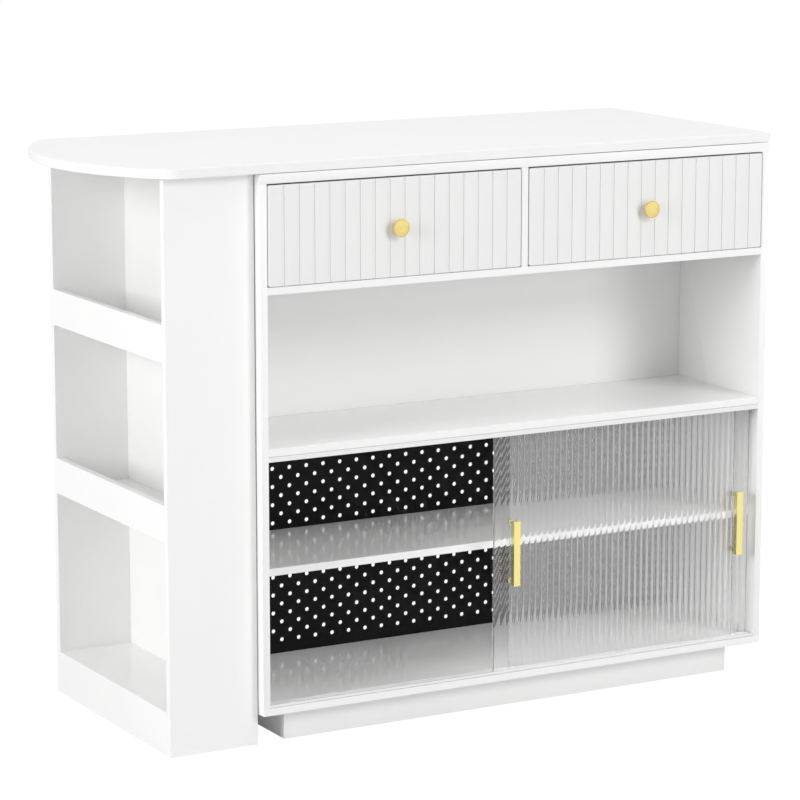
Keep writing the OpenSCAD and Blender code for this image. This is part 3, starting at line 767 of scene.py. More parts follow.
@dataclass(frozen=True)
class PerforatedPanel:
    """The thin black back panel of the lower bay, with staggered rows of round holes.

    The edges round the field of holes are longer than rim_share chords of a hole, which tells them
    from the holes' own.
    """

    hole_radius: float = 3.5 * MM
    pitch: float = 31.6 * MM
    row_pitch: float = 15.4 * MM
    first_row: float = 22.7 * MM
    first_column: float = 28.7 * MM
    top_margin: float = 20 * MM
    half_steps: int = 4
    side_steps: int = 2
    weld: float = 0.02 * MM
    rim_share: float = 1.5

    def cell(self) -> np.ndarray:
        """The outer ring of one brick-shaped cell and the ring of its hole.

        The outer points divide the cell's sides evenly, so that they meet those of the next rows,
        which are half a pitch aside. The hole's points lie at even angles, and the middle of the
        lower side goes with the hole's lowest point.

        Returns:
            Both rings about the hole's centre, as complex numbers.
        """
        w, h = self.pitch / 2, self.row_pitch / 2
        long_side = np.linspace(-w, w, 2 * self.half_steps + 1)[:-1]
        short_side = np.linspace(-h, h, self.side_steps + 1)[:-1]
        outer = [long_side - 1j * h, w + 1j * short_side, -long_side + 1j * h, -w - 1j * short_side]
        outer = np.concatenate(outer)
        step = 2 * np.pi / len(outer)
        angle = -RIGHT_ANGLE + (np.arange(len(outer)) - self.half_steps) * step
        return np.stack([outer, self.hole_radius * np.exp(1j * angle)])

    def field(self, low: Point, high: Point) -> tuple[np.ndarray, np.ndarray]:
        """Lays the cells out in staggered rows and joins each outer ring to its hole's ring.

        Args:
            low: the panel's lowest corner.
            high: its highest corner.

        Returns:
            The points and the faces of the sheet's front.
        """
        w, h = self.pitch / 2, self.row_pitch / 2
        tall = high[2] - low[2] - self.first_row - self.top_margin - h
        rows = math.floor(tall / self.row_pitch) + 1
        columns = math.floor((high[0] - low[0] - self.first_column - w) / w)
        row, column = np.divmod(np.arange(rows * columns), columns)
        kept = (row + column) % 2 == 1
        x = low[0] + self.first_column + column[kept] * w
        z = low[2] + self.first_row + row[kept] * self.row_pitch
        rings = (x + 1j * z)[:, None, None] + self.cell()
        here = np.arange(rings.size).reshape(rings.shape)
        beside = np.roll(here, -1, axis=2)
        faces = np.stack([here[:, 0], beside[:, 0], beside[:, 1], here[:, 1]], -1).reshape(-1, 4)
        points = np.stack([rings.real, np.full(rings.shape, low[1]), rings.imag], -1)
        return points.reshape(-1, 3), faces

    def build(self, dresser: Dresser) -> None:
        """Makes the sheet, fills its plain margin, and gives it its thickness."""
        low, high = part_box("perforated_back_panel")
        points, faces = self.field(low, high)
        mesh = bpy.data.meshes.new("perforated_sheet")
        mesh.from_pydata(points.tolist(), [], faces.tolist())
        chord = 2 * np.pi * self.hole_radius / (4 * self.half_steps + 2 * self.side_steps)
        long = self.rim_share * chord
        corners = [(low[0], low[2]), (high[0], low[2]), (high[0], high[2]), (low[0], high[2])]
        with reshaped(mesh) as work:
            bmesh.ops.remove_doubles(work, verts=work.verts, dist=self.weld)
            rim = [edge for edge in work.edges if edge.is_boundary and edge.calc_length() > long]
            marks = [work.verts.new((x, low[1], z)) for x, z in corners]
            rim += [work.edges.new(ends) for ends in zip(marks, marks[1:] + marks[:1])]
            bmesh.ops.triangle_fill(work, edges=rim, use_beauty=True, use_dissolve=False)
            bmesh.ops.recalc_face_normals(work, faces=work.faces)
            if sum(face.normal.y * face.calc_area() for face in work.faces) > 0:
                bmesh.ops.reverse_faces(work, faces=work.faces)
        piece = linked("perforated_sheet", mesh)
        sheet = piece.modifiers.new("sheet_thickness", "SOLIDIFY")
        sheet.thickness, sheet.offset = high[1] - low[1], -1.0
        dresser.dress(piece, dresser.finishes.panel, "cabinet", "perforated_back_panel")


@dataclass(frozen=True)
class Tracks:
    """The two plastic tracks, each with two grooves for the doors' edges."""

    lip: float = 4.5 * MM
    groove: float = 5 * MM
    rib: float = 2.5 * MM
    back: float = 3 * MM
    base: float = 1.2 * MM
    line_height: float = 0.8 * MM
    line_depth: float = 2 * MM
    fillet: float = 0.3 * MM
    fillet_steps: int = 2

    def section(self, front: float, height: float, base_z: float, up: float) -> Outline:
        """The section across Y and Z, round the base, the grooves and the shadow line in front.

        Args:
            front: the place of the track's front.
            height: the lips' height.
            base_z: the height of the base's outer face.
            up: 1 for grooves that open upwards, and -1 for downwards.

        Returns:
            The outline.
        """
        marks = np.cumsum([self.lip, self.groove, self.rib, self.groove, self.back])
        lip_in, rib_in, rib_out, back_in, end = marks
        base, line, above = self.base, self.line_depth, self.line_height
        steps = [(line, 0), (end, 0), (end, height), (back_in, height), (back_in, base)]
        steps += [(rib_out, base), (rib_out, height), (rib_in, height), (rib_in, base)]
        steps += [(lip_in, base), (lip_in, height), (0, height), (0, above), (line, above)]
        corners = [complex(front + y, base_z + up * z) for y, z in steps]
        return Outline.of(corners, self.fillet, self.fillet_steps)

    def build(self, dresser: Dresser) -> None:
        """Makes both tracks."""
        for node, up in (("lower_track", 1), ("upper_track", -1)):
            low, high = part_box(node)
            outline = self.section(low[1], high[2] - low[2], low[2] if up > 0 else high[2], up)
            rings = outline.prism(high[0] - low[0], self.fillet, self.fillet_steps)
            piece = piece_of(node + "_section", tube(rings, Axis.RIGHT, (low[0], 0, 0)))
            dresser.dress(piece, dresser.finishes.track, "cabinet", node)


ARM_SHARE = 0.24


class Recess(Enum):
    """The shape of the recess in a screw's head."""

    CROSS = "cross"
    HEXAGON = "hexagon"

    def radii(self, angle: np.ndarray, size: float) -> np.ndarray:
        """The distance from the middle to the recess's wall.

        A cross arm of half width a and length L reaches the lesser of L / cos t and a / sin t,
        where t is the angle from the arm. A hexagon's side at distance a lies at a / cos t, where t
        is the angle from the side's middle.

        Args:
            angle: the angles round the head.
            size: the recess's greatest radius.

        Returns:
            The distances.
        """
        if self is Recess.CROSS:
            away = abs((angle + RIGHT_ANGLE / 2) % RIGHT_ANGLE - RIGHT_ANGLE / 2)
            beside = ARM_SHARE * size / np.maximum(np.sin(away), NEXT_TO_NOTHING)
            return np.minimum(size / np.cos(away), beside)
        sixth = math.pi / 3
        return size * math.cos(sixth / 2) / np.cos((angle + sixth / 2) % sixth - sixth / 2)


@dataclass(frozen=True)
class Screw:
    """A screw whose head stands on its seat, with its shank below.

    The shares are of the shank's radius for the tip, of the head's height for its side and for the
    recess's floor, of its radius for the crown, the flat and the recess, and of the recess's wall
    for its taper.
    """

    head_radius: float
    head_height: float
    shank_radius: float
    length: float
    recess: Recess = Recess.CROSS
    recess_share: float = 0.55
    floor_share: float = 0.35
    tip_share: float = 0.6
    side_share: float = 0.7
    crown_share: float = 0.75
    flat_share: float = 0.6
    taper_share: float = 0.9
    fillet: float = 0.3 * MM
    fillet_steps: int = 2
    segments: int = 48

    def shell(self, axis: Axis, seat: Point) -> Shell:
        """Turns the shank and the head, and sinks the recess into the head's top.

        Args:
            axis: the way that the head points.
            seat: the middle of the head's underside.

        Returns:
            The points and the faces.
        """
        head, shank, top = self.head_radius, self.shank_radius, self.head_height
        tip, end = self.tip_share * shank, -self.length
        corners = [complex(0, end), complex(tip, end), complex(shank, tip + end)]
        corners += [complex(shank, 0), complex(head, 0), complex(head, self.side_share * top)]
        corners += [complex(self.crown_share * head, top), complex(self.flat_share * head, top)]
        line = rounded_line(corners, self.fillet, self.fillet_steps)
        angle = 2 * np.pi * np.arange(self.segments) / self.segments
        wall = self.recess.radii(angle, self.recess_share * head)
        outside = np.repeat(line.real[:, None], self.segments, 1)
        radii = np.concatenate([outside, [wall, self.taper_share * wall, 0 * wall]])
        floor = self.floor_share * top
        heights = np.concatenate([line.imag, [top, floor, floor]])
        return tube(rings_of(radii * np.exp(1j * angle), heights), axis, seat)


def ends_of(node: str, radius: float, coordinate: int) -> tuple[float, float]:
    """The middles of the first and the last round thing in a node, along one coordinate."""
    low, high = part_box(node)
    return low[coordinate] + radius, high[coordinate] - radius


@dataclass(frozen=True)
class Fittings:
    """The fittings: worktop screws, brackets and pads, joining bolts and spacers, shelf pins."""

    worktop_screw: Screw = Screw(4 * MM, 2 * MM, 2 * MM, 26 * MM)
    screw_inset: float = 92 * MM
    bolt: Screw = Screw(6 * MM, 3.5 * MM, 3 * MM, 34 * MM, Recess.HEXAGON)
    spacer_radius: float = 8 * MM
    spacer_edge: float = 0.8 * MM
    pin_radius: float = 2.5 * MM
    pin_length: float = 17 * MM
    pin_edge: float = 0.6 * MM
    pin_segments: int = 32
    bracket_width: float = 18 * MM
    bracket_sheet: float = 2 * MM
    bracket_bend: float = 2.6 * MM
    bracket_edge: float = 0.4 * MM
    bend_steps: int = 4
    edge_steps: int = 2
    leg_share: float = 1 / 3
    bracket_screw: Screw = Screw(3.4 * MM, 1.6 * MM, 1.6 * MM, 9 * MM)

    def build(self, dresser: Dresser) -> None:
        """Makes every fitting of the cabinet's body."""
        made = {
            "worktop_screws": self.worktop_screws(),
            "worktop_brackets": self.brackets(),
            "joining_bolts": self.bolts(),
            "joining_spacers": self.spacers(),
            "shelf_pins": self.pins(),
        }
        for node, piece in made.items():
            dresser.dress(piece, dresser.finishes.steel, "cabinet", node)
        dresser.keep("worktop_pads", dresser.finishes.pad)

    def worktop_screws(self) -> bpy.types.Object:
        """Makes the screws that hold the worktop from below: four along the front and the back."""
        radius = self.worktop_screw.head_radius
        first, last = ends_of("worktop_screws", radius, 0)
        middle = (first + last) / 2
        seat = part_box("cabinet_top")[0][2]
        xs = (first, middle - self.screw_inset, middle + self.screw_inset, last)
        places = [(x, y, seat) for x in xs for y in ends_of("worktop_screws", radius, 1)]
        shells = [self.worktop_screw.shell(Axis.DOWN, place) for place in places]
        return piece_of("worktop_pan_screws", *shells)

    def brackets(self) -> bpy.types.Object:
        """Makes the two bent angle brackets, with a screw in each leg, a third of the way along."""
        low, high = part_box("worktop_brackets")
        sheet, share = self.bracket_sheet, self.leg_share
        below, inside = high[2] - sheet, high[0] - sheet
        corners = [complex(high[0], high[2]), complex(low[0], high[2]), complex(low[0], below)]
        corners += [complex(inside, below), complex(inside, low[2]), complex(high[0], low[2])]
        bends = np.full(len(corners), self.bracket_edge)
        bends[0], bends[3] = self.bracket_bend, self.bracket_bend - sheet
        plan = Outline.of(corners, bends, self.bend_steps)
        rings = plan.prism(self.bracket_width, self.bracket_edge, self.edge_steps)
        shells = []
        for back in (low[1] + self.bracket_width, high[1]):
            y = back - self.bracket_width / 2
            under = (low[0] + share * (high[0] - low[0]), y, below)
            beside = (inside, y, low[2] + share * (high[2] - low[2]))
            shells.append(tube(rings, Axis.FRONT, (0, back, 0)))
            shells.append(self.bracket_screw.shell(Axis.DOWN, under))
            shells.append(self.bracket_screw.shell(Axis.LEFT, beside))
        return piece_of("bent_brackets", *shells)

    def bolts(self) -> bpy.types.Object:
        """Makes the joining bolts, whose heads stand on the cabinet's left side."""
        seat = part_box("cabinet_left_side")[1][0]
        ys, zs = (ends_of("joining_bolts", self.bolt.head_radius, i) for i in (1, 2))
        shells = [self.bolt.shell(Axis.RIGHT, (seat, y, z)) for y in ys for z in zs]
        return piece_of("joining_socket_bolts", *shells)

    def spacers(self) -> bpy.types.Object:
        """Makes the spacers between the tower's divider and the cabinet, with eased rims."""
        low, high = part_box("joining_spacers")
        rings = peg(self.spacer_radius, high[0] - low[0], self.spacer_edge)
        ys, zs = (ends_of("joining_spacers", self.spacer_radius, i) for i in (1, 2))
        shells = [tube(rings, Axis.RIGHT, (low[0], y, z)) for y in ys for z in zs]
        return piece_of("joining_collars", *shells)

    def pins(self) -> bpy.types.Object:
        """Makes the four shelf pins, with rounded ends."""
        low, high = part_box("shelf_pins")
        rings = peg(self.pin_radius, self.pin_length, self.pin_edge, segments=self.pin_segments)
        z = (low[2] + high[2]) / 2
        ends = ((Axis.RIGHT, low[0]), (Axis.LEFT, high[0]))
        ys = ends_of("shelf_pins", self.pin_radius, 1)
        shells = [tube(rings, axis, (x, y, z)) for axis, x in ends for y in ys]
        return piece_of("shelf_support_pins", *shells)


class Cut(Enum):
    """Where a pane's sides are cut through the fluted sheet, in pitches from a flute's ridge.

    With one pane of each kind, the flutes lie half a pitch aside where both panes overlap.
    """

    RIDGE = 0.0
    FLUTE = 0.5


@dataclass(frozen=True)
class SlidingDoor:
    """A sliding door: a pane with hollow upright flutes in front, a bar handle and its screws."""

    side: str
    cut: Cut = Cut.RIDGE
    flute_pitch: float = 11.4 * MM
    flute_depth: float = 1.15 * MM
    ridge: float = 0.3 * MM
    flute_steps: int = 16
    edge: float = 0.12 * MM
    edge_steps: int = 3
    handle_gap: float = 11 * MM
    bar_edge: float = 0.8 * MM
    bar_steps: int = 4
    post_radius: float = 3.5 * MM
    post_pitch: float = 96 * MM
    foot_flare: float = 0.6 * MM
    foot_height: float = 1.4 * MM
    foot_steps: int = 3
    collar_radius: float = 5 * MM
    collar_height: float = 0.8 * MM
    collar_edge: float = 0.24 * MM
    collar_steps: int = 2
    segments: int = 48
    screw: Screw = Screw(4 * MM, 2.2 * MM, 1.9 * MM, 14 * MM)

    def pane(self) -> bpy.types.Object:
        """Makes the pane: a flat back, and in front a row of hollow arcs, carried up the door.

        A flute's point at angle t is (r sin t, d - r + r cos t) from the middle between its two
        ridges, where d is its depth and r the radius of the circle through its bottom and both
        ends. The pane's sides cut through the sheet at its ridges, or through the middle of a
        flute.
        """
        low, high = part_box(self.side + "_door_glass")
        width, depth = high[0] - low[0], high[1] - low[1]
        flutes = round(width / self.flute_pitch)
        pitch = width / flutes
        half = (pitch - self.ridge) / 2
        radius = (half**2 + self.flute_depth**2) / (2 * self.flute_depth)
        span = math.asin(half / radius)
        angle = np.linspace(-span, span, self.flute_steps + 1)
        arc = radius * np.sin(angle) + 1j * (self.flute_depth - radius + radius * np.cos(angle))
        middles = np.arange(flutes + 1) + 0.5 - self.cut.value
        points = (middles[:, None] * pitch + arc).ravel()
        normals = np.tile(-np.sin(angle) - 1j * np.cos(angle), len(middles))
        inside = abs(points.real - width / 2) < width / 2 - self.edge
        points, normals = points[inside], normals[inside]
        body = Outline.box(0, points[0].imag, width, depth, self.edge, self.edge_steps)
        front = self.edge_steps + 1
        points = np.insert(body.points, front, points)
        outline = Outline(points, np.insert(body.normals, front, normals))
        rings = outline.prism(high[2] - low[2], self.edge, self.edge_steps)
        return piece_of(self.side + "_door_pane", tube(rings, Axis.UP, tuple(low)))

    def posts(self) -> tuple[float, list[float]]:
        """The place of the handle along X, and the heights of its two posts."""
        low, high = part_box(self.side + "_door_handle")
        middle = (low[2] + high[2]) / 2
        return (low[0] + high[0]) / 2, [middle - self.post_pitch / 2, middle + self.post_pitch / 2]

    def handle(self) -> bpy.types.Object:
        """Makes the square bar and its two posts, which flare a little at the foot."""
        low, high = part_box(self.side + "_door_handle")
        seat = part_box(self.side + "_door_glass")[0][1]
        x, heights = self.posts()
        back = (high[0], seat - self.handle_gap, high[2])
        bar = round_box(tuple(low), back, self.bar_edge, self.bar_steps)
        foot, reach = self.post_radius + self.foot_flare, self.handle_gap + self.bar_edge
        corners = [0j, foot + 0j, complex(foot, self.foot_height)]
        corners += [complex(self.post_radius, self.foot_height + self.foot_flare)]
        corners += [complex(self.post_radius, reach), complex(0, reach)]
        rings = turned(rounded_line(corners, self.foot_flare / 2, self.foot_steps), self.segments)
        posts = [tube(rings, Axis.FRONT, (x, seat, z)) for z in heights]
        return piece_of(self.side + "_door_pull", bar, *posts)

    def screws(self) -> bpy.types.Object:
        """Makes the handle's two screws, and the thin collars under its posts."""
        low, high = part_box(self.side + "_door_glass")
        x, heights = self.posts()
        shells = [self.screw.shell(Axis.BACK, (x, high[1], z)) for z in heights]
        rim = (self.collar_edge, self.collar_steps, self.segments)
        rings = peg(self.collar_radius, self.collar_height, *rim)
        shells += [tube(rings, Axis.FRONT, (x, low[1], z)) for z in heights]
        return piece_of(self.side + "_door_pull_screws", *shells)

    def build(self, dresser: Dresser) -> None:
        """Makes the door and dresses it."""
        body = self.side + "_door"
        dresser.dress(self.pane(), dresser.finishes.glass, body, body + "_glass")
        dresser.dress(self.handle(), dresser.finishes.gold, body, body + "_handle")
        dresser.dress(self.screws(), dresser.finishes.steel, body, body + "_screws")


def fall(inside: np.ndarray, radius: float) -> np.ndarray:
    """How far a rounded edge falls at a distance inside it: r - sqrt(r^2 - (r - distance)^2)."""
    return radius - np.sqrt(radius**2 - np.clip(radius - inside, 0, radius) ** 2)


@dataclass(frozen=True)
class SlattedFront:
    """A drawer's front: a plate with upright slats, round corners and softly rounded edges.

    Each slat slopes in along its last millimetres and ends at a narrow, deeper notch.
    """

    slat: float = 26.6 * MM
    slope: float = 5.5 * MM
    slope_depth: float = 0.5 * MM
    notch: float = 0.95 * MM
    notch_depth: float = 1.5 * MM
    notch_round: float = 0.15 * MM
    notch_steps: int = 2
    edge: float = 1.2 * MM
    corner: float = 3.5 * MM
    back_edge: float = 0.5 * MM
    back_steps: int = 2
    steps: int = 4

    def grooves(self, width: float) -> np.ndarray:
        """The line across the front, as place + depth * 1j, without its two ends."""
        slats = round(width / self.slat)
        starts = np.arange(1, slats) * width / slats
        ends, deep = starts + self.notch, 1j * self.notch_depth
        marks = [starts - self.slope, starts + 1j * self.slope_depth]
        marks = np.stack([*marks, starts + deep, ends + deep, ends], 1).ravel()
        line = [0j, *marks, complex(width, 0)]
        return rounded_line(line, self.notch_round, self.notch_steps)[1:-1]

    def shell(self, width: float, height: float, thick: float) -> Shell:
        """Lays a grid over the front, and closes it with a wall and a back.

        A column near the plate's end starts higher by the corner's fall, and each grid point lies
        as deep as the deepest of the groove and the falls of both edges.

        Args:
            width: the plate's width.
            height: its height.
            thick: its thickness.

        Returns:
            The points, with the front along the third axis, and the faces.
        """
        arc = self.corner * (1 - np.cos(np.linspace(0, RIGHT_ANGLE, 2 * self.steps + 1)))
        line = self.grooves(width)
        x = np.concatenate([arc, line.real, (width - arc)[::-1]])
        inside = np.minimum(x, width - x)
        groove = np.concatenate([0 * arc, line.imag, 0 * arc])
        rows = self.edge * (1 - np.cos(np.linspace(0, RIGHT_ANGLE, self.steps + 1)))
        lift = fall(inside, self.corner)[:, None] + rows
        y = np.concatenate([lift, height - lift[:, ::-1]], 1)
        deep = np.maximum(fall(inside, self.edge), groove)[:, None]
        deep = np.maximum(deep, fall(np.concatenate([rows, rows[::-1]]), self.edge))
        grid = np.stack([np.broadcast_to(x[:, None], y.shape), y, thick - deep], -1)
        here = np.arange(y.size).reshape(y.shape)
        faces = [here[:-1, :-1], here[1:, :-1], here[1:, 1:], here[:-1, 1:]]
        faces = np.stack(faces, -1).reshape(-1, 4)
        rim = np.concatenate([here[:, 0], here[-1, 1:], here[-2::-1, -1], here[0, -2:0:-1]])
        flat = grid.reshape(-1, 3)[rim] @ np.array([1, 1j, 0])
        ahead = np.roll(flat, -1) - np.roll(flat, 1)
        outward = -1j * ahead / abs(ahead)
        angle = np.linspace(0, RIGHT_ANGLE, self.back_steps + 1)
        inset = self.back_edge * (1 - np.sin(angle))
        wall = rings_of(flat - inset[:, None] * outward, self.back_edge * (1 - np.cos(angle)))
        back = y.size + np.arange(wall[..., 0].size).reshape(wall.shape[:2])
        loops = np.concatenate([back, rim[None]])
        beside = np.roll(loops, -1, axis=1)
        sides = np.stack([loops[:-1], beside[:-1], beside[1:], loops[1:]], -1).reshape(-1, 4)
        points = np.concatenate([grid.reshape(-1, 3), wall.reshape(-1, 3)])
        return points, [*map(tuple, faces.tolist() + sides.tolist()), tuple(back[0, ::-1].tolist())]

    def build(self, dresser: Dresser, body: str) -> None:
        """Makes one drawer's front."""
        low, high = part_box(body + "_front")
        points, faces = self.shell(high[0] - low[0], high[2] - low[2], high[1] - low[1])
        placed = Axis.FRONT.carry(points, (low[0], high[1], low[2]))
        piece = piece_of(body + "_slatted_front", (placed, faces))
        dresser.dress(piece, dresser.finishes.drawer_front, body, body + "_front")


@dataclass(frozen=True)
class Knob:
    """A turned knob: a round foot, a neck that widens to the rim, and a dome inside a thin ring."""

    foot_radius: float = 6.5 * MM
    neck_radius: float = 6 * MM
    neck_height: float = 4 * MM
    rim: float = 2.2 * MM
    bevel: float = 0.5 * MM
    line_width: float = 0.7 * MM
    line_depth: float = 0.6 * MM
    dome: float = 3.4 * MM
    fillet: float = 0.15 * MM
    fillet_steps: int = 3
    dome_steps: int = 14
    segments: int = 96
    colour: Colour = (0.92, 0.74, 0.28)
    # the dark grazing tint is painted shade: it darkens the gold towards the rim's and the dome's
    # edges into a dark outline
    grazing: Colour = (0.22, 0.16, 0.08)
    ring_scale: float = 900.0
    ring_height: float = 0.001 * MM
    ring_spread: float = 0.03
    screw: Screw = Screw(4 * MM, 2.4 * MM, 1.9 * MM, 22.5 * MM)

    def build(self, dresser: Dresser, body: str) -> None:
        """Makes one knob and its screw.

        The dome's point at angle a is (R cos a, h sin a) from the middle of the rim's front.
        """
        low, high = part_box(body + "_knob")
        centre = ((low[0] + high[0]) / 2, high[1], (low[2] + high[2]) / 2)
        radius, reach = (high[0] - low[0]) / 2, high[1] - low[1]
        face, front = radius - self.bevel, reach - self.dome
        angle = np.linspace(0, RIGHT_ANGLE, self.dome_steps + 1)[1:-1]
        corners = [0j, self.foot_radius + 0j, complex(self.neck_radius, self.neck_height)]
        corners += [complex(face, front - self.rim), complex(radius, front - self.rim + self.bevel)]
        corners += [complex(radius, front - self.bevel), complex(face, front)]
        inner, bottom = face - self.line_width, front - self.line_depth
        corners += [complex(face, bottom), complex(inner, bottom), complex(inner, front)]
        corners += [complex(inner * math.cos(a), front + self.dome * math.sin(a)) for a in angle]
        line = rounded_line([*corners, complex(0, reach)], self.fillet, self.fillet_steps)
        gold = dresser.finishes.gold
        lathed = Finish(
            f"turned_gold_{body}",
            gold.slot,
            self.colour,
            gold.roughness,
            metallic=gold.metallic,
            # the knob's dark grazing tint: painted shade at its edges
            grazing=self.grazing,
            mottle=gold.mottle,
            grain_scale=self.ring_scale,
            grain_height=self.ring_height,
            spread=self.ring_spread,
            centre=centre,
        )
        rings = turned(line, self.segments)
        knob = piece_of(body + "_turned_knob", tube(rings, Axis.FRONT, centre))
        dresser.dress(knob, lathed, body, body + "_knob")
        seat = (centre[0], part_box(body + "_front")[1][1], centre[2])
        fixing = piece_of(body + "_knob_fixing", self.screw.shell(Axis.BACK, seat))
        dresser.dress(fixing, dresser.finishes.steel, body, body + "_knob_screw")


@dataclass(frozen=True)
class Runners:
    """The pair of steel runners of a drawer: a channel on the bay's side and a slider in it."""

    sheet: float = 1.2 * MM
    clear: float = 0.4 * MM
    channel: float = 9.2 * MM
    lip: float = 5 * MM
    height: float = 35 * MM
    width: float = 12.7 * MM
    fillet: float = 0.35 * MM
    fillet_steps: int = 2

    def channel_corners(self) -> list[complex]:
        """The channel's section: a web on the bay's side, two flanges and two lips."""
        half, t, w = self.height / 2, self.sheet, self.channel
        lip = half - t - self.lip
        upper = [complex(w, half), complex(w, lip), complex(w - t, lip), complex(w - t, half - t)]
        upper = [complex(0, half), *upper, complex(t, half - t)]
        return [*upper, *(p.conjugate() for p in reversed(upper))]

    def slider_corners(self) -> list[complex]:
        """The slider's section: a head in the channel, and a hollow neck to the drawer's side."""
        back = self.sheet + self.clear
        half = self.height / 2 - back
        neck, head = half - self.lip, self.channel - back
        hollow, inside = neck - self.sheet, self.width - self.sheet
        upper = [complex(inside, hollow), complex(back, hollow), complex(back, half)]
        upper += [complex(head, half), complex(head, neck), complex(self.width, neck)]
        return [*upper, *(p.conjugate() for p in reversed(upper))]

    def build(self, dresser: Dresser, side: str) -> None:
        """Makes both members on both sides of one drawer."""
        bay_low, bay_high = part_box(side + "_cabinet_runners")
        middle = (bay_low[2] + bay_high[2]) / 2
        members = (
            ("cabinet", "channel", "cabinet", self.channel_corners()),
            ("drawer", "slider", side + "_drawer", self.slider_corners()),
        )
        for owner, member, body, corners in members:
            node, name = f"{side}_{owner}_runners", f"{side}_{member}_runners"
            low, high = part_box(node)
            shells = []
            for wall, way in ((bay_low[0], 1), (bay_high[0], -1)):
                placed = [complex(wall + way * p.real, middle + p.imag) for p in corners]
                section = Outline.of(placed, self.fillet, self.fillet_steps)
                rings = section.prism(high[1] - low[1], self.fillet, self.fillet_steps)
                shells.append(tube(rings, Axis.FRONT, (0, high[1], 0)))
            dresser.dress(piece_of(name, *shells), dresser.finishes.steel, body, node)


@dataclass(frozen=True)
class Drawer:
    """A drawer: its slatted front and knob, its box, and its runners."""

    side: str
    front: SlattedFront = SlattedFront()
    knob: Knob = Knob()
    runners: Runners = Runners()

    def build(self, dresser: Dresser, boards: Boards) -> None:
        """Makes the drawer."""
        body = self.side + "_drawer"
        self.front.build(dresser, body)
        self.knob.build(dresser, body)
        self.runners.build(dresser, self.side)
        boards.drilled(dresser, body, body + "_left_side", body + "_right_side")
        boards.plain(dresser, body, body + "_back", body + "_bottom")


# ---------------------------------------------------------------------------------- studio


@dataclass(frozen=True)
class Lamp:
    """A soft square lamp that looks at the unit's middle."""

    name: str
    place: Point
    size: float
    power: float

    def build(self, target: Point) -> None:
        """Makes the lamp."""
        light = bpy.data.lights.new(self.name, "AREA")
        light.shape, light.size, light.energy = "SQUARE", self.size, self.power
        lamp = bpy.data.objects.new(self.name, light)
        bpy.context.scene.collection.objects.link(lamp)
        lamp.location, lamp.visible_glossy = self.place, False
        aim = np.array(target) - np.array(self.place)
        lift = math.atan2(aim[2], math.hypot(aim[0], aim[1]))
        lamp.rotation_euler = (RIGHT_ANGLE + lift, 0, math.atan2(-aim[0], aim[1]))


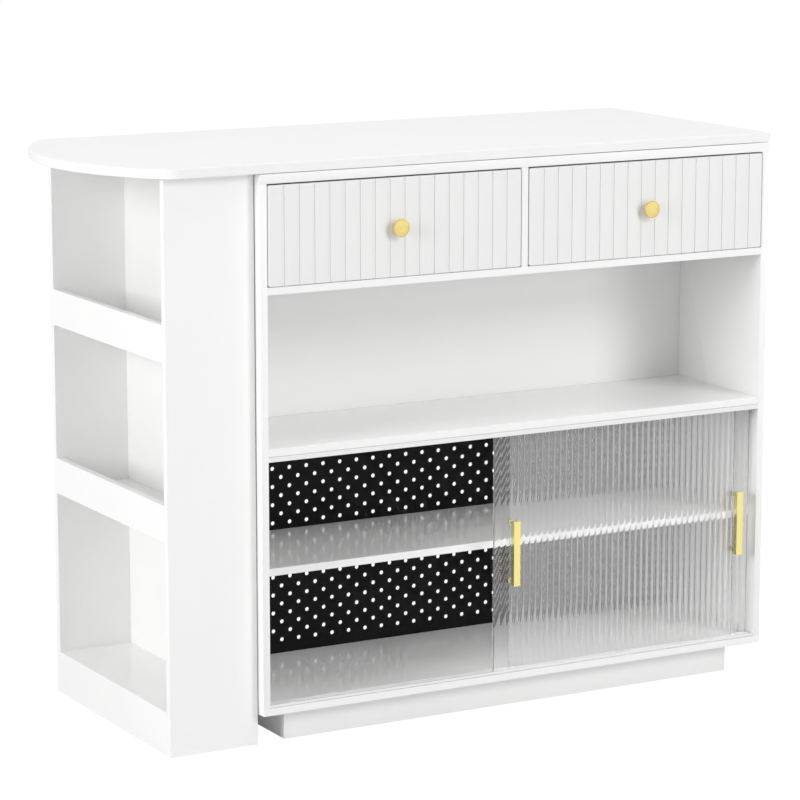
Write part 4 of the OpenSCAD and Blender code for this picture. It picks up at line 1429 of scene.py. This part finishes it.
@dataclass(frozen=True)
class Studio:
    """The plain pale studio: a white background, a pale floor, soft lamps and the camera."""

    camera_place: Point = (-2.5794, -4.6755, 1.4887)
    azimuth: float = 29.112
    tilt: float = 10.655
    lens: float = 147.39
    sensor: float = 36.0
    far: float = 100.0
    ambient: float = 0.42
    floor_size: float = 30.0
    floor_colour: float = 0.6
    floor_white: float = 0.88
    floor_glow: float = 1.1
    floor_gloss: float = 0.6
    floor_specular: float = 0.2
    floor_noise: float = 3.0
    floor_smoothest: float = 0.42
    floor_roughest: float = 0.5
    target: Point = (0.0, 0.0, 0.45)
    lamps: tuple[Lamp, ...] = (
        Lamp("key_lamp", (3.0, -6.0, 4.2), 2.5, 162.0),
        Lamp("left_lamp", (-5.8, -1.1, 2.1), 2.6, 200.0),
        Lamp("right_fill_lamp", (3.8, -6.0, 1.2), 2.0, 80.0),
        Lamp("top_lamp", (0.0, -0.5, 5.0), 3.0, 58.0),
    )

    def camera(self) -> None:
        """Makes the camera, which looks along the azimuth and down by the tilt."""
        data = bpy.data.cameras.new("studio_camera")
        data.sensor_width, data.lens = self.sensor, self.lens
        data.clip_end = self.far
        camera = bpy.data.objects.new("studio_camera", data)
        bpy.context.scene.collection.objects.link(camera)
        camera.location = self.camera_place
        tilt, azimuth = math.radians(self.tilt), math.radians(self.azimuth)
        camera.rotation_euler = (RIGHT_ANGLE - tilt, 0, -azimuth)
        bpy.context.scene.camera = camera

    def seen(self, wiring: Wiring, white: float, gloss: float) -> bpy.types.NodeSocket:
        """Picks a share by the kind of ray: lamps' and soft rays get 0.

        Args:
            wiring: adds the nodes.
            white: the share for rays from the camera and through glass.
            gloss: the share for rays off glossy things.

        Returns:
            The share.
        """
        path = wiring.add("LightPath").outputs
        straight = {0: path["Is Camera Ray"], 1: path["Is Transmission Ray"]}
        straight = wiring.add("Math", straight, operation="MAXIMUM").outputs[0]
        straight = wiring.add("Math", {0: straight, 1: white}, operation="MULTIPLY").outputs[0]
        off = {0: path["Is Glossy Ray"], 1: gloss}
        off = wiring.add("Math", off, operation="MULTIPLY").outputs[0]
        return wiring.add("Math", {0: straight, 1: off}, operation="MAXIMUM").outputs[0]

    def background(self) -> None:
        """Makes the world: white where it is seen, reflected or looked at through glass."""
        world = bpy.data.worlds.new("white_studio")
        world.use_nodes = True
        bpy.context.scene.world = world
        wiring = Wiring(world.node_tree)
        strength = {"Value": self.seen(wiring, 1.0, 1.0), "To Min": self.ambient, "To Max": 1.0}
        strength = wiring.add("MapRange", strength).outputs["Result"]
        sky = wiring.add("Background", {"Color": (1, 1, 1, 1), "Strength": strength})
        wiring.add("OutputWorld", {"Surface": sky.outputs["Background"]})

    def floor(self) -> None:
        """Makes the floor: pale, mostly white to the camera, with a soft shadow left in it."""
        half = self.floor_size / 2
        corners = [(-half, -half, 0), (half, -half, 0), (half, half, 0), (-half, half, 0)]
        mesh = bpy.data.meshes.new("studio_floor")
        mesh.from_pydata(corners, [], [(0, 1, 2, 3)])
        material = bpy.data.materials.new("pale_floor")
        material.use_nodes = True
        wiring = Wiring(material.node_tree)
        place = wiring.add("TexCoord").outputs["Object"]
        noise = wiring.add("TexNoise", {"Vector": place, "Scale": self.floor_noise})
        rough = {"To Min": self.floor_smoothest, "To Max": self.floor_roughest}
        rough = wiring.add("MapRange", {"Value": noise.outputs["Fac"]} | rough)
        matt = {"Base Color": (*(self.floor_colour,) * 3, 1), "Roughness": rough.outputs["Result"]}
        matt = wiring.add("BsdfPrincipled", matt | {"Specular IOR Level": self.floor_specular})
        white = wiring.add("Emission", {"Color": (1, 1, 1, 1), "Strength": self.floor_glow})
        share = self.seen(wiring, self.floor_white, self.floor_gloss)
        mixed = {0: share, 1: matt.outputs["BSDF"], 2: white.outputs["Emission"]}
        wiring.add("OutputMaterial", {"Surface": wiring.add("MixShader", mixed).outputs["Shader"]})
        mesh.materials.append(material)
        linked("studio_floor", mesh)

    def build(self) -> None:
        """Sets the whole studio up."""
        bpy.context.scene.view_settings.view_transform = "Standard"
        self.camera()
        self.background()
        self.floor()
        for lamp in self.lamps:
            lamp.build(self.target)


def main() -> None:
    """Builds the studio and every sub-assembly in order."""
    logging.basicConfig(level=logging.INFO, format="%(message)s")
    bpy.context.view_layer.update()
    Studio().build()
    dresser = Dresser(Finishes())
    boards = Boards()
    Worktop().build(dresser)
    boards.build(dresser)
    PerforatedPanel().build(dresser)
    Tracks().build(dresser)
    Fittings().build(dresser)
    for side, cut in (("left", Cut.RIDGE), ("right", Cut.FLUTE)):
        SlidingDoor(side, cut).build(dresser)
        Drawer(side).build(dresser, boards)
    log.info("%d pieces dressed", dresser.count)


if __name__ == "__main__":
    main()
